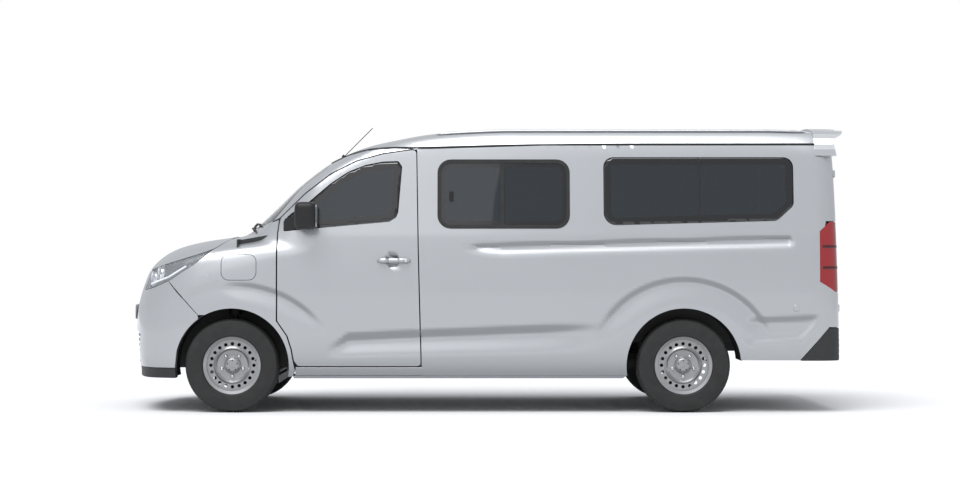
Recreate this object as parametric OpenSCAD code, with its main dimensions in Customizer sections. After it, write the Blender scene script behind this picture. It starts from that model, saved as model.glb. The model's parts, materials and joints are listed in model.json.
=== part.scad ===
// Battery-electric minibus with nine seats: twin side-hinged rear doors, a sliding door on the
// right, hinged bonnet and a charging flap on the left wing. Millimetres; +X runs to the rear,
// +Y to the vehicle's right, +Z up. The origin is on the ground, midway between the bumpers.

/* [Overall] */
// Distance from the front bumper to the front axle
front_overhang = 800; // [760:5:900]
// Distance between the axles
wheelbase = 3210; // [3100:5:3900]
// Distance from the rear axle to the rear bumper
rear_overhang = 1190; // [1150:5:1450]
// Width over the side panels, without the mirrors
body_w = 1880; // [1800:2:2260]
// Height of the roof above the ground
roof_z = 2054; // [1980:2:2480]
// Height of the windscreen's foot above the ground
cowl_z = 1291; // [1270:1:1320]
// Height of the body's lower edge above the ground
sill_z = 250; // [230:1:265]
// Height of the top of the floor
floor_z = 520; // [505:1:560]

/* [Walls] */
// Thickness of a door or side wall
wall_t = 70; // [55:1:84]
// Thickness of the roof
roof_t = 45; // [35:1:54]
// Thickness of the wings and the bonnet
skin_t = 25; // [20:1:30]
// Thickness of the bumpers and lamps
bumper_t = 60; // [45:1:70]
// Thickness of the glass
glass_t = 6; // [4:0.5:8]
// Depth of the glass behind the outer skin
glass_inset = 6; // [3:0.5:10]
// Thickness of the floor
floor_t = 30; // [20:1:40]
// Thickness of the inner plates and wheel housings
plate_t = 10; // [6:1:14]

/* [Shut lines] */
// Gap around the doors and the bonnet
gap = 8; // [8:0.5:10]
// Gap around the charging flap
flap_gap = 5; // [4:0.5:7]

/* [Wheels] */
// Distance between the middles of the tyres on one axle
track = 1620; // [1580:2:1640]
// Outer diameter of the tyre
tyre_d = 668; // [640:2:690]
// Width of the tyre
tyre_w = 205; // [185:1:225]
// Diameter of the rim's lip
rim_d = 409; // [396:1:420]
// Radius of the wheel arches
arch_r = 407; // [400:1:430]
// Number of vent holes in a wheel
vent_count = 20; // [10:1:24]
// Radius of a vent hole
vent_r = 12.5; // [8:0.5:14]
// Radius of the stub axles
spindle_r = 20; // [16:1:26]
// Lean of the steering axis towards the middle
kingpin_lean = 10; // [6:0.5:12]
// Distance from the middle of the tyre to the steering axis, at the height of the stub axle
kingpin_offset = 97; // [90:1:110]

/* [Hinges] */
// Distance from a front door's front edge back to its hinge axis
door_axis_x = 62; // [58:1:72]
// Depth of a front door's hinge axis behind the widest line of the body
door_axis_y = 22; // [21:0.5:24]
// Distance of a rear door's hinge axis behind the rear face
rear_axis_x = 12; // [11:0.5:16]
// Radius of the door hinge pins
pin_r = 6; // [4:0.5:6.5]
// Radius of the bonnet hinge pins
bonnet_pin_r = 4; // [3:0.5:4.5]
// Radius of the flap's hinge pin
flap_pin_r = 2; // [1.5:0.1:2.2]
// Clearance between a pin and its bore, on the radius
pin_fit = 0.3; // [0.1:0.05:0.4]

/* [Fittings] */
// Radius of the steering wheel
steer_r = 190; // [175:1:200]
// Radius of the steering wheel's grip
grip_r = 15; // [12:0.5:18]
// Radius of the charging inlet's socket
socket_r = 30; // [25:1:34]
// Depth of the charging inlet's socket
socket_depth = 30; // [20:1:40]
// Radius of the tow-eye's threaded hole
tow_r = 10; // [8:0.5:12]
// Radius of the passage to it through the bumper
tow_cap_r = 26; // [20:1:30]
// Radius of the holes for a roof rack
rack_hole_r = 4.25; // [3:0.25:6]
// Radius of the tow bar's bolt holes
bar_hole_r = 6.5; // [5:0.5:8]
// Length of the aerial
aerial_l = 316; // [250:1:340]

/* [Hidden] */
$fn = 48;

// Main stations
body_l = front_overhang + wheelbase + rear_overhang;
fa = front_overhang - body_l / 2;
ra = fa + wheelbase;
re = body_l / 2;
half_w = body_w / 2;
wheel_y = track / 2;
axle_z = tyre_d / 2;
far = 4000;

// Shut lines of the front door
door_x0 = fa + 322;
door_x1 = fa + 1330;
door_z0 = sill_z + 77;
// The rear face leans forwards by rear_lean over its height
rear_z0 = 600;
rear_z1 = roof_z - 224;
rear_foot_x = re - 56;
rear_lean = 39;
rear_pitch = atan(rear_lean / (rear_z1 - rear_z0));
// The upper body starts to lean in at the shoulder
shoulder_z = 930;
belt_z = cowl_z - 41;
belt_in = 15;
shoulder_lean = atan(belt_in / (belt_z - shoulder_z));
// Door pillars at the rear corners
rear_door_y = half_w - 139;
// Wheel housings
housing_r = arch_r + 23;
housing_front_l = 445;
housing_y = wheel_y - 330;
housing_inner_y = wheel_y - 175;
housing_z = axle_z + housing_r + 6;
bulkhead_x = fa + 30;

// Unit vector along v
function unit(v) = v / norm(v);

// Point at a share of the rise from the windscreen's foot to the roof
function up(x, share) = [fa + x, cowl_z + share * (roof_z - cowl_z)];

// Closed outline moved inwards by d, with its points counter-clockwise
function inset(pts, d) = [
    for (i = [0:len(pts) - 1])
        let (a = pts[(i + len(pts) - 1) % len(pts)],
             b = pts[i],
             c = pts[(i + 1) % len(pts)],
             u = unit(b - a),
             v = unit(c - b),
             m = [-u.y, u.x],
             n = [-v.y, v.x])
        b + (m + n) * d / (1 + m * n)
];

// Closed outline with its corners turned into arcs of the radii r
function rounded(pts, r, steps = 5) = [
    for (i = [0:len(pts) - 1])
        let (b = pts[i],
             u = unit(pts[(i + len(pts) - 1) % len(pts)] - b),
             v = unit(pts[(i + 1) % len(pts)] - b),
             half = acos(u * v) / 2,
             c = b + unit(u + v) * r[i] / sin(half),
             p = b + u * r[i] / tan(half),
             q = b + v * r[i] / tan(half),
             a0 = atan2(p.y - c.y, p.x - c.x),
             turn = (atan2(q.y - c.y, q.x - c.x) - a0 + 540) % 360 - 180)
        for (k = [0:steps])
            c + r[i] * [cos(a0 + turn * k / steps), sin(a0 + turn * k / steps)]
];

// Outline seen from the side, carried across the body
module across(pts, y0 = -far, y1 = far) {
    translate([0, y1, 0]) rotate([90, 0, 0]) linear_extrude(y1 - y0) polygon(pts);
}

// Outline seen from behind, carried along the body
module along(pts, x0 = -far, x1 = far) {
    translate([x0, 0, 0]) rotate([90, 0, 90]) linear_extrude(x1 - x0) polygon(pts);
}

// Outline seen from above, carried upwards
module upwards(pts, z0 = -far, z1 = far) {
    translate([0, 0, z0]) linear_extrude(z1 - z0) polygon(pts);
}

// Box between two corners
module block(a, b) {
    translate(a) cube(b - a);
}

// Round bar between two heights, lengths or widths
module bar_z(x, y, z0, z1, r) {
    translate([x, y, z0]) cylinder(r = r, h = z1 - z0);
}

module bar_y(x, z, y0, y1, r) {
    translate([x, y1, z]) rotate([90, 0, 0]) cylinder(r = r, h = y1 - y0);
}

module bar_x(y, z, x0, x1, r) {
    translate([x0, y, z]) rotate([0, 90, 0]) cylinder(r = r, h = x1 - x0);
}

// A piece made on the left, mirrored to the right
module on_right() {
    mirror([0, 1, 0]) children();
}

module on_both() {
    children();
    on_right() children();
}

// Side profile of the body, with its lower edge let down by drop
function side_profile(drop) = concat(
    [[fa - 740, sill_z - 10 - drop], [ra - 420, sill_z - 10 - drop],
      [ra + 400, sill_z + 30 - drop],
     [re - 80, sill_z + 80 - drop], [re - 60, 420],
     [rear_foot_x, rear_z0], [rear_foot_x - rear_lean, rear_z1],
     [re - 112, roof_z - 140], [re - 140, roof_z - 75], [re - 190, roof_z - 30],
     [re - 280, roof_z - 8], [re - 560, roof_z]],
    [up(2000, 1), up(1700, 0.988), up(1466, 0.963), up(1299, 0.935), up(1169, 0.900),
     up(1037, 0.866), up(909, 0.823), up(780, 0.756), up(651, 0.671), up(520, 0.552),
     up(391, 0.409), up(261, 0.245)],
    [[fa + 55, cowl_z], [fa + 9, cowl_z - 24], [fa - 138, cowl_z - 47], [fa - 252, cowl_z - 62],
     [fa - 406, cowl_z - 93], [fa - 537, cowl_z - 139], [fa - 636, cowl_z - 208],
     [fa - 698, cowl_z - 277], [fa - 730, cowl_z - 350], [fa - 765, 840],
     [fa - 792, 730], [fa - 800, 616], [fa - 798, 500], [fa - 788, 390], [fa - 768, 300]]
);

// Half of the cross-section, from the sill up to the crown of the roof
function half_section(drop) = [
    [half_w - 52, sill_z - drop], [half_w - 26, sill_z + 75], [half_w - 11, sill_z + 200],
    [half_w - 3, 640], [half_w, 790], [half_w, shoulder_z], [half_w - belt_in, belt_z],
    [half_w - 24, belt_z + 55], [half_w - 85, roof_z - 250], [half_w - 101, roof_z - 182],
    [half_w - 115, roof_z - 145], [half_w - 142, roof_z - 102], [half_w - 180, roof_z - 68],
    [half_w - 250, roof_z - 42], [half_w - 440, roof_z - 16], [half_w - 700, roof_z - 3]
];

function cross_section(drop) =
    let (h = half_section(drop), n = len(h))
    concat(h, [for (i = [0:n - 1]) [-h[n - 1 - i].x, h[n - 1 - i].y]]);

// Half of the plan, from the front to the rear
half_plan = [
    [fa - 800, 230], [fa - 792, 410], [fa - 768, 590], [fa - 718, 720], [fa - 640, 805],
    [fa - 520, 868], [fa - 380, 906], [fa - 240, 928], [fa - 100, half_w], [re - 130, half_w],
    [re - 104, half_w - 6], [re - 80, half_w - 22], [re - 62, half_w - 46],
    [re - 52, half_w - 80], [re - 40, half_w - 160]
];

// Corner widths of the front end follow the body's width
wide = half_w - 940;
plan = let (h = [for (p = half_plan) p.x < fa - 150 ? [p.x, p.y + wide] : p], n = len(h))
    concat([for (p = h) [p.x, -p.y]], [for (i = [0:n - 1]) h[n - 1 - i]]);

// The body's whole volume, or its volume with the walls taken off
module body_solid(side = 0, top = 0, drop = 0) {
    intersection() {
        across(inset(side_profile(drop), top));
        translate([0, 0, side - top]) along(inset(cross_section(drop), side));
        upwards(inset(plan, side));
    }
}

module inner_solid(side = wall_t, top = roof_t) {
    body_solid(side, top, 300);
}

module shell(side = wall_t, top = roof_t) {
    difference() {
        body_solid();
        inner_solid(side, top);
    }
}

// Thin sheet at the depth of the glass
module glass_sheet() {
    difference() {
        body_solid(glass_inset, glass_inset, 300);
        body_solid(glass_inset + glass_t, glass_inset + glass_t, 300);
    }
}

// Outlines seen from the side
door_outline = concat(
    [[fa + 469, door_z0], [door_x1 + 14, door_z0], [door_x1 - 4, up(0, 0.761).y]],
    [up(1255, 0.756), up(1071, 0.721), up(888, 0.655), up(704, 0.533), up(519, 0.349),
     up(335, 0.123)],
    [[door_x0, cowl_z - 20], [door_x0, 651], [fa + 395, 545], [fa + 425, 450],
     [fa + 439, door_z0 + 40]]
);

door_glass_outline = concat(
    [[fa + 364, cowl_z - 4], [fa + 1120, cowl_z + 64], [fa + 1168, cowl_z + 95],
     [fa + 1183, cowl_z + 131]],
    [up(1210, 0.600), up(1183, 0.653), up(1072, 0.647), up(948, 0.616), up(826, 0.553),
     up(703, 0.446), up(530, 0.253), up(407, 0.156), up(362, 0.090)]
);

window1_outline = rounded(
    [[fa + 1461, belt_z + 56], [fa + 2402, belt_z + 56], [fa + 2402, roof_z - 254],
     [fa + 1461, roof_z - 254]], [95, 95, 95, 95]
);

window2_outline = rounded(
    [[ra - 569, belt_z + 78], [ra + 661, belt_z + 111], [ra + 783, belt_z + 221],
     [ra + 783, roof_z - 238], [ra - 569, roof_z - 238]], [90, 60, 60, 70, 70]
);

sliding_outline = rounded(
    [[door_x1 + 22, door_z0], [fa + 2560, door_z0], [fa + 2560, roof_z - 190],
     [door_x1 + 22, roof_z - 190]], [40, 40, 40, 40]
);

bonnet_line = [[fa - 645, cowl_z - 285], [fa - 151, cowl_z - 136], [fa - 50, cowl_z - 57]];
bonnet_rear_x = fa - 45;
bonnet_skin_z = cowl_z - 32;
bonnet_outline = concat(
    [[fa - 900, cowl_z - 285]], bonnet_line,
    [[bonnet_rear_x, cowl_z - 40], [bonnet_rear_x, cowl_z + 100], [fa - 900, cowl_z + 100]]
);

lamp_foot = [[fa - 900, 868], [fa - 640, 873], [fa - 462, 936], [fa - 270, cowl_z - 251]];
lamp_outline = concat(
    lamp_foot,
    [bonnet_line[1] + 0.06 * (lamp_foot[3] - bonnet_line[1]), bonnet_line[0] - [0, gap / 2 + 2],
     [fa - 900, cowl_z - 287 - gap / 2]]
);
lamp_y = 520;

wing_outline = concat(
    [[fa + 445, sill_z - 50], [fa + 439, door_z0 + 40], [fa + 425, 450], [fa + 395, 545],
     [door_x0, 651], [door_x0, cowl_z - 6], [fa + 55, cowl_z], [fa + 20, cowl_z + 60],
     [bonnet_rear_x, cowl_z + 60], [bonnet_rear_x, cowl_z - 40]],
    [bonnet_line[2], bonnet_line[1], lamp_foot[3], lamp_foot[2], [fa - 240, 690],
     [fa - 200, 640], [fa - 200, sill_z - 50]]
);
wing_inner_y = half_w - 100;

bumper_outline = [
    [fa - 900, sill_z - 50], [fa - 200, sill_z - 50], [fa - 200, 640], [fa - 240, 690],
    lamp_foot[2], lamp_foot[1], lamp_foot[0]
];
bumper_rear_outline = [
    [ra + 680, sill_z - 50], [re + 100, sill_z - 50], [re + 100, rear_z0 + 15],
    [re - 99, rear_z0 + 2], [re - 161, rear_z0 - 2], [re - 165, 402], [ra + 823, 367]
];

roof_x0 = fa + 690;
roof_outline = concat(
    [up(690, 0.640), up(820, 0.715), up(960, 0.757), up(1150, 0.775), up(1312, 0.768)],
    [[ra - 1000, roof_z - 150], [ra + 940, roof_z - 149], [ra + 940, roof_z + 200],
     [roof_x0, roof_z + 200]]
);

spoiler_z = roof_z - 227;
spoiler_outline = [[ra + 940, spoiler_z], [re + 100, spoiler_z], [re + 100, roof_z + 200],
                   [ra + 940, roof_z + 200]];

tail_outline = [
    [re - 219, 932], [re - 150, 890], [re - 60, 856], [re + 50, 856], [re + 50, roof_z - 704],
    [re - 105, roof_z - 704], [re - 180, roof_z - 735], [re - 219, roof_z - 769]
];
tail_y = half_w - 78;

screen_y = half_w - 250;
screen_x0 = fa + 70;
sail_x = fa + 515;

// Stations of the charging flap on the left wing
flap_x0 = fa - 76;
flap_x1 = fa + 178;
flap_z0 = shoulder_z + 9;
flap_z1 = shoulder_z + 197;
flap_outline = rounded(
    [[flap_x0, flap_z0], [flap_x1, flap_z0], [flap_x1, flap_z1], [flap_x0, flap_z1]],
    [57, 57, 57, 57]
);
flap_t = 8;
// Axis of the flap's hinge: ahead of the flap and behind the skin
flap_axis_x = flap_x0 - 24;
flap_axis_y = 10;
flap_axis_z = (flap_z0 + flap_z1) / 2 - shoulder_z;
flap_arm_h = 15;
socket_x = (flap_x0 + flap_x1) / 2;
socket_z = (flap_z0 + flap_z1) / 2;

// Hinge places
door_hinge_x = door_x0 + gap / 2 + door_axis_x;
door_hinge_y = half_w - door_axis_y;
door_hinge_z = [690, 960];
rear_hinge_y = rear_door_y;
rear_hinge_z = [740, roof_z - 354];
bonnet_axis = [bonnet_rear_x - gap / 2 + 5, bonnet_skin_z - 10];
bonnet_hinge_y = half_w - 360;
eye_h = 28;
eye_gap = 3;
eye_wall = 4;
bonnet_eye_r = bonnet_pin_r + 3.5;
bonnet_sweep_r = norm([5, bonnet_skin_z - bonnet_axis.y]);
// Space that the front edge of an opening door needs beside its wall
swing_room = 36;

// Wheel openings in the side walls
module arches(r, x) {
    bar_y(x, axle_z, -far, far, r);
}

// ---- Floor and inner body ----

module floor_pan() {
    color("dimgray") {
        difference() {
            intersection() {
                inner_solid();
                union() {
                    block([fa + housing_front_l, -far, floor_z - floor_t], [re - 140, far, floor_z]);
                    block([re - 190, -rear_door_y, floor_z - floor_t],
                          [re - 140, rear_door_y, rear_z0 + 14]);
                }
            }
            on_both() bar_y(ra, axle_z, -far, -housing_inner_y, housing_r + 0.3);
            on_both() door_room();
        }
    }
}

// Space beside a front door as it swings
module door_room() {
    block([door_x0 - 60, -far, 0], [door_x1 + 40, -half_w + wall_t + swing_room, far]);
}

// Space around the charging inlet
module inlet_room() {
    block([flap_x0 - 20, -far, flap_z0 - 10], [flap_x1 + 20, -half_w + 125, flap_z1 + 10]);
}

// Wall between the cabin and the front compartment, with the front wheel housings
module bulkhead() {
    color("dimgray") {
        front_wall();
        front_housings();
    }
}

module front_wall() {
    step_x = fa + housing_front_l;
    difference() {
        intersection() {
            inner_solid();
            union() {
                block([step_x, -far, floor_z], [step_x + plate_t, far, housing_z]);
                block([bulkhead_x, -far, housing_z], [step_x + plate_t, far, housing_z + plate_t]);
                block([bulkhead_x, -far, housing_z + plate_t], [bulkhead_x + plate_t, far, far]);
            }
        }
        on_both() door_room();
        inlet_room();
    }
}

module front_housings() {
    on_both() difference() {
        intersection() {
            inner_solid(skin_t, skin_t);
            union() {
                block([fa - housing_front_l, -housing_y - plate_t, 300],
                      [fa + housing_front_l, -housing_y, housing_z]);
                block([fa - housing_front_l, -far, housing_z],
                      [bulkhead_x, -housing_y, housing_z + plate_t]);
                block([fa - housing_front_l - plate_t, -far, sill_z + 40],
                      [fa - housing_front_l, -housing_y, housing_z + plate_t]);
            }
        }
        across(bumper_outline, -far, -housing_y - 100);
    }
}

// Front longitudinal members and the cross beam that carries the bumper
module front_rails() {
    on_both() block([fa - 660, -housing_y, 470], [fa + housing_front_l, -housing_y + 60, 590]);
    block([fa - 660, -30, 560], [fa - 630, 30, cowl_z - 391]);
    difference() {
        block([fa - 700, -500, 470], [fa - 660, 500, 650]);
        bar_x(tow_y, tow_z, fa - 760, fa - 600, tow_r);
    }
}

// Rear longitudinal members with the tow bar's bolt holes
module rear_rails() {
    under = floor_z - floor_t;
    difference() {
        on_both() block([ra + 250, -bar_mid_y - 35, under - 70], [re - 200, -bar_mid_y + 35, under]);
        for (x = bar_x_pair) on_both() bar_z(x, -bar_mid_y, 0, under - 15, bar_hole_r);
    }
}

module chassis_rails() {
    color("dimgray") {
        front_rails();
        rear_rails();
    }
}

module rear_wheel_housings() {
    color("dimgray") on_both() rear_housing();
}

module rear_housing() {
    difference() {
        intersection() {
            inner_solid();
            union() {
                difference() {
                    bar_y(ra, axle_z, -far, -housing_inner_y, housing_r);
                    bar_y(ra, axle_z, -far, -housing_inner_y - plate_t, housing_r - plate_t);
                }
            }
        }
        block([ra - 600, -far, 0], [ra + 600, far, floor_z - floor_t]);
    }
}

// ---- Outer panels ----

module roof_panel() {
    color("silver") difference() {
        intersection() {
            shell();
            across(roof_outline);
        }
        for (x = rack_x_pair)
            on_both() bar_z(x, -rack_y, roof_z - 150, roof_z, rack_hole_r);
    }
}

// The pressed side of the body, made on the left: pillars, sill and rear quarter
module side_panel() {
    difference() {
        intersection() {
            shell();
            union() {
                block([fa + 40, -far, 0], [fa + 1300, -screen_y, far]);
                block([fa + 1300, -far, 0], [re, -rear_door_y - gap / 2, far]);
            }
        }
        across(wing_outline);
        across([[fa - 900, 0], [fa + 445, 0], [fa + 445, 300], [fa + 300, 700], [fa + 300, 1000],
                [fa - 900, 1000]]);
        across(inset(door_outline, -gap / 2));
        across(roof_outline);
        across(spoiler_outline);
        across(bumper_rear_outline);
        across(tail_outline, -far, -tail_y);
        across(window2_outline, -far, 0);
        across([[fa, 0], [roof_x0, 0], [roof_x0, far], [fa, far]], -screen_y, 0);
        arches(arch_r, ra);
    }
    hinge_pillar();
}

// Post behind the wing that carries the front door
module hinge_pillar() {
    difference() {
        intersection() {
            difference() {
                inner_solid(skin_t, skin_t);
                inner_solid();
            }
            across([[fa + 200, 560], [door_x0 - gap / 2, 560], [door_x0 - gap / 2, cowl_z - 5],
                    [screen_x0, cowl_z - 5], [screen_x0, flap_z1 + 12], [fa + 200, flap_z1 + 12]],
                   -far, -half_w + 200);
        }
        arches(housing_r, fa);
    }
    for (z = door_hinge_z) root_hinge(z);
}

// Bracket and pin of a front door hinge, on the pillar
module root_hinge(z) {
    reach = 70;
    post_x = door_x0 - gap / 2;
    z0 = z - eye_h - eye_gap;
    z1 = z - eye_gap;
    bar_z(door_hinge_x, -door_hinge_y, z0, z1, pin_r + eye_wall);
    block([door_hinge_x - 7, -door_hinge_y, z0], [door_hinge_x + 7, -door_hinge_y + reach, z1]);
    block([post_x - 30, -door_hinge_y + reach - 14, z0],
          [door_hinge_x + 7, -door_hinge_y + reach, z1]);
    block([post_x - 30, -half_w + wall_t - 10, z0], [post_x - 4, -door_hinge_y + reach, z1]);
    bar_z(door_hinge_x, -door_hinge_y, z - eye_gap, z + eye_h + eye_gap, pin_r);
}

module left_side_panel() {
    color("silver") difference() {
        union() {
            side_panel();
            root_rear_hinges();
        }
        across(window1_outline, -far, 0);
    }
}

module right_side_panel() {
    color("silver") on_right() difference() {
        union() {
            side_panel();
            root_rear_hinges();
        }
        across(inset(sliding_outline, -gap / 2), -far, 0);
    }
}

module sliding_door() {
    color("silver") on_right() difference() {
        intersection() {
            shell();
            across(inset(sliding_outline, gap / 2), -far, -rear_door_y);
        }
        across(window1_outline, -far, 0);
    }
}

// Wing made on the left
module front_wing() {
    difference() {
        intersection() {
            shell(skin_t, skin_t);
            across(wing_outline, -far, -wing_inner_y);
        }
        across(inset(bonnet_outline, -gap / 2));
        bar_y(bonnet_axis.x, bonnet_axis.y, -far, far, bonnet_sweep_r + 5);
        arches(arch_r, fa);
        across(inset(door_outline, -gap / 2));
        bar_z(door_hinge_x, -door_hinge_y, 490, 610, door_axis_y + 3);
    }
}

module left_front_wing() {
    color("silver") {
        difference() {
            front_wing();
            across(inset(flap_outline, -flap_gap), -far, 0);
            flap_pocket();
        }
        flap_pin();
    }
}

module right_front_wing() {
    color("silver") on_right() front_wing();
}

module cowl() {
    y0 = -bonnet_hinge_y - 54;
    color("#202224") {
        intersection() {
            difference() {
                body_solid(0, roof_t - skin_t);
                inner_solid(0, roof_t);
            }
            block([bonnet_axis.x + 12, -wing_inner_y, 0], [screen_x0, wing_inner_y, far]);
        }
        on_both() {
            bar_y(bonnet_axis.x, bonnet_axis.y, y0, y0 + 24, bonnet_eye_r);
            block([bonnet_axis.x, y0, bonnet_axis.y - 16],
                  [bonnet_axis.x + 24, y0 + 24, bonnet_axis.y - 2]);
            bar_y(bonnet_axis.x, bonnet_axis.y, y0 + 24, y0 + 54, bonnet_pin_r);
        }
    }
}

module bonnet() {
    y0 = -bonnet_hinge_y - 54;
    color("silver") {
        difference() {
            intersection() {
                shell(skin_t, skin_t);
                across(inset(bonnet_outline, gap / 2));
            }
            on_both() bar_y(bonnet_axis.x, bonnet_axis.y, y0 - 3, y0 + 57, bonnet_eye_r + 2);
        }
        on_both() difference() {
            union() {
                bar_y(bonnet_axis.x, bonnet_axis.y, y0 + 27, y0 + 51, bonnet_eye_r);
                block([bonnet_axis.x - 60, y0 + 27, bonnet_axis.y - 19],
                      [bonnet_axis.x, y0 + 51, bonnet_axis.y - 3]);
            }
            bar_y(bonnet_axis.x, bonnet_axis.y, -far, 0, bonnet_pin_r + pin_fit);
        }
    }
}

// ---- Bumpers, lamps and fixed glass ----

tow_y = -300;
tow_z = 612;
bar_mid_y = 450;
bar_x_pair = [re - 450, re - 300];
rack_x_pair = [fa + 1500, ra + 300];
rack_y = half_w - 190;

grille_y = 600;
grille_z0 = 300;
grille_z1 = 560;

module front_bumper() {
    color("silver") difference() {
        intersection() {
            shell(bumper_t, bumper_t);
            union() {
                across(bumper_outline);
                across([[fa - 900, 800], [fa - 600, 800], [fa - 600, cowl_z - 285 - gap],
                        [fa - 900, cowl_z - 285 - gap]], -lamp_y, lamp_y);
            }
            block([-far, -far, sill_z - 20], [fa - 150, far, far]);
        }
        arches(arch_r, fa);
        bar_x(tow_y, tow_z, fa - 900, fa - 600, tow_cap_r);
        along([[-grille_y, grille_z0], [grille_y, grille_z0], [grille_y - 60, grille_z1],
               [-grille_y + 60, grille_z1]], fa - 900, fa - 650);
    }
}

module bumper_grille() {
    color("#1a1b1d") intersection() {
        difference() {
            body_solid(20, 20);
            inner_solid(bumper_t, bumper_t);
        }
        along([[-grille_y, grille_z0], [grille_y, grille_z0], [grille_y - 60, grille_z1],
               [-grille_y + 60, grille_z1]], fa - 900, fa - 650);
        union() {
            for (i = [0:4])
                block([-far, -far, grille_z0 + i * 58], [far, far, grille_z0 + 28 + i * 58]);
            for (y = [-550, -290, 0, 290, 550])
                block([-far, y - 10, 0], [far, y + 10, far]);
        }
    }
}

module rear_bumper() {
    bumper_plan = [
        [ra + 600, -half_w], [re - 130, -half_w], [re - 60, -half_w + 25], [re - 22, -half_w + 90],
        [re - 6, -half_w + 220], [re, -half_w + 420], [re, half_w - 420],
        [re - 6, half_w - 220], [re - 22, half_w - 90], [re - 60, half_w - 25],
        [re - 130, half_w], [ra + 600, half_w]
    ];
    color("#26282b") difference() {
        intersection() {
            across(bumper_rear_outline);
            along(cross_section(0));
            upwards(bumper_plan);
            across([[ra + 600, sill_z + 60], [re - 90, sill_z + 80], [re, sill_z + 150],
                    [re, rear_z0 + 15], [ra + 600, rear_z0 + 15]]);
        }
        intersection() {
            along(inset(cross_section(300), wall_t));
            upwards(inset(bumper_plan, wall_t));
        }
        arches(arch_r, ra);
    }
}

module roof_spoiler() {
    color("silver") {
        intersection() {
            difference() {
                union() {
                    body_solid();
                    intersection() {
                        across([[re - 200, roof_z - 130], [re - 120, roof_z - 110],
                                [re - 60, roof_z - 80], [re - 22, roof_z - 46],
                                [re - 22, roof_z - 34], [re - 90, roof_z - 18],
                                [re - 280, roof_z - 8]]);
                        along(cross_section(0));
                        upwards([[re - 400, -half_w], [re - 120, -half_w + 110],
                                 [re - 50, -half_w + 170], [re - 22, -half_w + 300],
                                 [re - 22, half_w - 300], [re - 50, half_w - 170],
                                 [re - 120, half_w - 110], [re - 400, half_w]]);
                    }
                }
                inner_solid();
            }
            across(spoiler_outline);
        }
    }
}

module headlights() {
    color("#d5dade") on_both() intersection() {
        shell(bumper_t, bumper_t);
        across(lamp_outline, -far, -lamp_y);
    }
}

module tail_lights() {
    color("#7d1418") on_both() intersection() {
        shell();
        across(tail_outline, -far, -tail_y);
    }
}

module windscreen() {
    color("#4a5560") intersection() {
        glass_sheet();
        block([screen_x0, -screen_y, cowl_z - 60], [roof_x0, screen_y, far]);
    }
}

module side_glass() {
    color("#39434b") on_both() intersection() {
        glass_sheet();
        union() {
            across(window1_outline, -far, -rear_door_y + 60);
            across(window2_outline, -far, -rear_door_y + 60);
        }
    }
}

// ---- Front doors ----

module front_door() {
    difference() {
        intersection() {
            shell();
            across(inset(door_outline, gap / 2), -far, -half_w + 220);
        }
        across(door_glass_outline, -far, 0);
        intersection() {
            body_solid(5, 5, 300);
            for (z = door_hinge_z)
                block([door_hinge_x - 90, -far, z - 42], [door_hinge_x + 17, 0, z + 42]);
        }
    }
    for (z = door_hinge_z) door_leaf(z);
}

// Barrel and web of a front door hinge, on the door
module door_leaf(z) {
    difference() {
        union() {
            bar_z(door_hinge_x, -door_hinge_y, z + eye_gap, z + eye_h, pin_r + eye_wall);
            block([door_hinge_x, -door_hinge_y - 5, z + eye_gap],
                  [door_hinge_x + 18, -door_hinge_y + 9, z + eye_h]);
        }
        bar_z(door_hinge_x, -door_hinge_y, 0, far, pin_r + pin_fit);
    }
}

module front_door_glass() {
    intersection() {
        glass_sheet();
        across(door_glass_outline, -far, -half_w + 220);
        block([sail_x, -far, 0], [far, 0, far]);
    }
}

// Mirror on the door's front corner
module door_mirror() {
    x0 = fa + 405;
    z0 = cowl_z + 12;
    housing = rounded(
        [[x0, -half_w - 175], [x0 + 140, -half_w - 180], [x0 + 160, -half_w + 5],
         [x0 + 20, -half_w - 5]], [60, 25, 20, 50]);
    difference() {
        union() {
            intersection() {
                upwards(housing, z0, z0 + 175);
                along(rounded([[-half_w - 180, z0], [-half_w + 5, z0 + 10],
                               [-half_w + 5, z0 + 165], [-half_w - 180, z0 + 175]],
                              [45, 25, 25, 55]), x0 - 10, x0 + 200);
            }
            block([x0 + 35, -half_w - 10, z0 + 20], [x0 + 95, -half_w + 42, z0 + 75]);
        }
        body_solid();
    }
    // The sail fills the front corner of the door's window
    intersection() {
        shell(glass_inset + glass_t, glass_inset + glass_t);
        across(door_glass_outline, -far, -half_w + 220);
        block([fa, -far, 0], [sail_x, 0, far]);
    }
}

module left_front_door() {
    color("silver") front_door();
}

module right_front_door() {
    color("silver") on_right() front_door();
}

module left_front_door_glass() {
    color("#39434b") front_door_glass();
}

module right_front_door_glass() {
    color("#39434b") on_right() front_door_glass();
}

module left_mirror() {
    color("#1e2022") door_mirror();
}

module right_mirror() {
    color("#1e2022") on_right() door_mirror();
}

// ---- Rear doors ----

rear_glass_outline = rounded(
    [[-rear_door_y + 75, 1325], [-70, 1325], [-70, roof_z - 274], [-rear_door_y + 95, roof_z - 274]],
    [50, 50, 50, 50]
);

module rear_door() {
    difference() {
        intersection() {
            shell();
            along([[-rear_door_y + gap / 2, rear_z0 + 24], [-gap / 2, rear_z0 + 24],
                   [-gap / 2, spoiler_z - gap], [-rear_door_y + gap / 2, spoiler_z - gap]],
                  re - 300, re);
        }
        along(rear_glass_outline, re - 300, re);
    }
    rear_leaves();
}

// The rear face's own plane: x to the outside, z up along the slope
module on_rear_face() {
    translate([rear_foot_x, 0, rear_z0]) rotate([0, -rear_pitch, 0]) children();
}

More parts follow.
